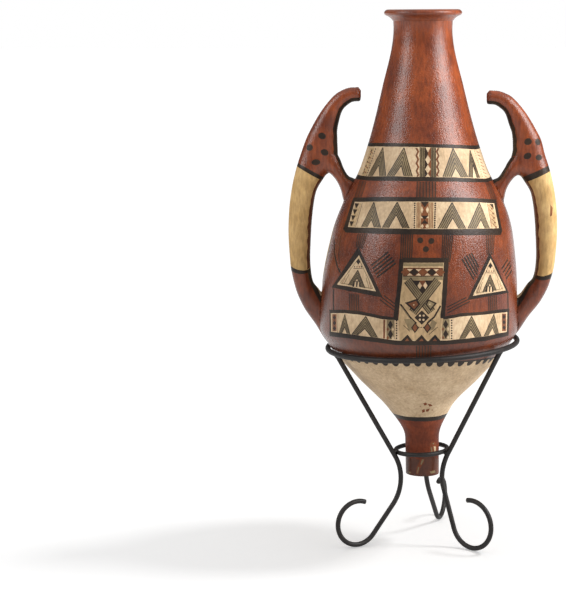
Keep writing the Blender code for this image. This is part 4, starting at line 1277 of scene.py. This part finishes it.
def legLine(leg):
    upper = standShape["upperRing"]
    lower = standShape["lowerRing"]
    contactRadius = lower["radius"] + standShape["contactGap"]
    top = (upper["radius"], upper["height"] + leanRise(upper["radius"] * math.sin(math.radians(leg["top"]))))
    contact = (contactRadius, lower["height"] + leanRise(contactRadius * math.sin(math.radians(leg["bend"]))))
    length = math.dist(top, contact)
    heading = ((contact[0] - top[0]) / length, (contact[1] - top[1]) / length)
    outward = (-heading[1], heading[0])
    bend = standShape["bend"]
    start = (top[0] + heading[0] * upper["rod"], top[1] + heading[1] * upper["rod"])
    along = (standShape["waist"] + leg["slack"] + bend - contact[0] - outward[0] * bend) / heading[0]
    centre = (contact[0] + heading[0] * along + outward[0] * bend,
              contact[1] + heading[1] * along + outward[1] * bend)
    scroll = (leg["reach"], leg["scroll"] + standShape["legRod"] + 0.2)
    gap = (scroll[0] - centre[0], scroll[1] - centre[1])
    turn = math.atan2(gap[1], gap[0]) - math.asin((leg["scroll"] - bend) / math.hypot(*gap))
    first = math.atan2(-outward[1], -outward[0]) % math.tau
    second = (turn - math.pi / 2) % math.tau
    third = math.radians(360 + leg["tip"])
    upperArc = arc(centre, bend, first, second, 24)
    lowerArc = arc(scroll, leg["scroll"], second, third, 56)
    flat = [start] + upperArc + lowerArc
    line = []
    for k, (distance, height) in enumerate(flat):
        share = min(max((k - 1) / 24, 0.0), 1.0)
        ease = share * share * (3 - 2 * share)
        bearing = leg["top"] if k == 0 else leg["bend"] + (leg["foot"] - leg["bend"]) * ease
        angle = math.radians(bearing)
        line.append(Vector((axisX + distance * math.sin(angle) * mm, -distance * math.cos(angle) * mm,
                            height * mm)))
    straight = [line[0].lerp(line[1], k / 40) for k in range(40)]
    return straight + line[1:]


makeRod("ring_upper", ringLine(standShape["upperRing"]), standShape["upperRing"]["rod"], True, "upper_ring")
makeRod("ring_lower", ringLine(standShape["lowerRing"]), standShape["lowerRing"]["rod"], True, "lower_ring")
legLines = {}
for name, leg in standShape["legs"].items():
    legLines[name] = legLine(leg)
    makeRod("forged_" + name, legLines[name], standShape["legRod"], False, name)


# Weld beads where each leg meets the rings.
weldBead = {"radius": 3.6, "lumps": 0.5}


def makeBeads():
    spots = []
    for name, line in legLines.items():
        spots.append(line[0])
        lowest = min(line[:60], key=lambda spot: abs(spot.z / mm - standShape["lowerRing"]["height"]))
        inward = Vector((axisX - lowest.x, -lowest.y, 0.0)).normalized()
        spots.append(lowest + inward * 3.4 * mm)
    builder = bmesh.new()
    for spot in spots:
        made = bmesh.ops.create_icosphere(builder, subdivisions=3, radius=weldBead["radius"] * mm)
        for vertex in made["verts"]:
            push = 1.0 + 0.16 * noise.noise((vertex.co + spot) / mm * weldBead["lumps"])
            vertex.co = Vector((vertex.co.x * 1.15, vertex.co.y * 1.15, vertex.co.z * 0.8)) * push + spot
    for face in builder.faces:
        face.smooth = True
    mesh = bpy.data.meshes.new("weld_beads")
    builder.to_mesh(mesh)
    builder.free()
    mesh.materials.append(iron)
    beads = bpy.data.objects.new("weld_beads", mesh)
    bpy.context.scene.collection.objects.link(beads)
    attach(beads, "root")


makeBeads()
print("stand ready")


def makeFloor():
    builder = bmesh.new()
    bmesh.ops.create_grid(builder, x_segments=2, y_segments=2, size=40.0)
    mesh = bpy.data.meshes.new("paperFloor")
    builder.to_mesh(mesh)
    builder.free()
    floor = bpy.data.objects.new("paperFloor", mesh)
    bpy.context.scene.collection.objects.link(floor)
    material, tree = newMaterial("whitePaper")
    # Seen straight the paper is white. Its far parts fall off in the dark, so it throws less light back.
    path = addNode(tree, "ShaderNodeLightPath")
    paper = addNode(tree, "ShaderNodeMix", {"data_type": "RGBA", 6: toLinear("#DADADA"),
                                            7: toLinear("#F6F6F6")}, {0: path.outputs["Is Camera Ray"]})
    # The paper is lit from behind as well.
    shader = addNode(tree, "ShaderNodeBsdfPrincipled",
                     {"Roughness": 0.9, "Specular IOR Level": 0.1, "Emission Color": (1.0, 1.0, 1.0, 1.0),
                      "Emission Strength": 0.38}, {"Base Color": paper.outputs[2]})
    addNode(tree, "ShaderNodeOutputMaterial", None, {"Surface": shader.outputs["BSDF"]})
    mesh.materials.append(material)
    return floor


lightSettings = {
    "rightBox": {"turn": 69.0, "rise": 32.0, "away": 2.0, "size": (1.2, 1.4),
                 "power": 44.0, "mirrored": True},
    "leftBox": {"turn": -64.0, "rise": 30.0, "away": 2.3, "size": (0.9, 1.4),
                "power": 20.0, "mirrored": True},
    "edgeBox": {"turn": 98.0, "rise": 12.0, "away": 2.0, "size": (0.7, 1.5),
                "power": 36.0, "mirrored": False},
}
sunSettings = {"turn": 104.0, "rise": 53.0, "strength": 0.95, "spread": 12.0}
roomSettings = {"seen": 1.0, "overhead": 0.72, "level": 0.07}


# Turns a lamp to the pot and gives the direction that it stands in.
def aimLamp(lamp, settings):
    turn = math.radians(settings["turn"])
    rise = math.radians(settings["rise"])
    away = Vector((math.sin(turn) * math.cos(rise), -math.cos(turn) * math.cos(rise), math.sin(rise)))
    lamp.rotation_mode = "QUATERNION"
    lamp.rotation_quaternion = (-away).to_track_quat("-Z", "Y")
    return away


# The boxes are flagged off the paper, so that they wash out no shadow there.
def makeLights(paper):
    target = Vector((axisX, 0.0, 0.40))
    flagged = bpy.data.collections.new("flaggedPaper")
    flagged.objects.link(paper)
    flagged.collection_objects[0].light_linking.link_state = "EXCLUDE"
    for name, settings in lightSettings.items():
        data = bpy.data.lights.new(name, "AREA")
        data.shape = "RECTANGLE"
        data.size = settings["size"][0]
        data.size_y = settings["size"][1]
        data.energy = settings["power"]
        lamp = bpy.data.objects.new(name, data)
        lamp.light_linking.receiver_collection = flagged
        lamp.visible_glossy = settings["mirrored"]
        bpy.context.scene.collection.objects.link(lamp)
        lamp.location = target + aimLamp(lamp, settings) * settings["away"]


# A far soft light from the right casts the long pale shadow on the paper.
def makeSun(settings):
    data = bpy.data.lights.new("shadowLight", "SUN")
    data.energy = settings["strength"]
    data.angle = math.radians(settings["spread"])
    lamp = bpy.data.objects.new("shadowLight", data)
    lamp.visible_glossy = False
    bpy.context.scene.collection.objects.link(lamp)
    aimLamp(lamp, settings)


# White paper sweep: bright overhead, dimmer at the level of the pot, white where it is seen.
def makeRoom(settings):
    world = bpy.data.worlds.new("whiteRoom")
    bpy.context.scene.world = world
    world.use_nodes = True
    tree = world.node_tree
    tree.nodes.clear()
    place = addNode(tree, "ShaderNodeTexCoord")
    parts = addNode(tree, "ShaderNodeSeparateXYZ", None, {"Vector": place.outputs["Generated"]})
    fade = addNode(tree, "ShaderNodeMapRange", {"From Min": 0.15, "From Max": 0.85,
                                                "To Min": settings["level"],
                                                "To Max": settings["overhead"]},
                   {"Value": parts.outputs["Z"]})
    lit = addNode(tree, "ShaderNodeBackground", None, {"Strength": fade.outputs["Result"]})
    seen = addNode(tree, "ShaderNodeBackground", {"Strength": settings["seen"]})
    for node in (lit, seen):
        node.inputs["Color"].default_value = (1.0, 1.0, 1.0, 1.0)
    path = addNode(tree, "ShaderNodeLightPath")
    mixed = addNode(tree, "ShaderNodeMixShader", None,
                    {"Fac": path.outputs["Is Camera Ray"], 1: lit.outputs["Background"],
                     2: seen.outputs["Background"]})
    addNode(tree, "ShaderNodeOutputWorld", None, {"Surface": mixed.outputs["Shader"]})


makeLights(makeFloor())
makeSun(sunSettings)
makeRoom(roomSettings)
bpy.context.scene.view_settings.view_transform = "Standard"

print("scene finished")
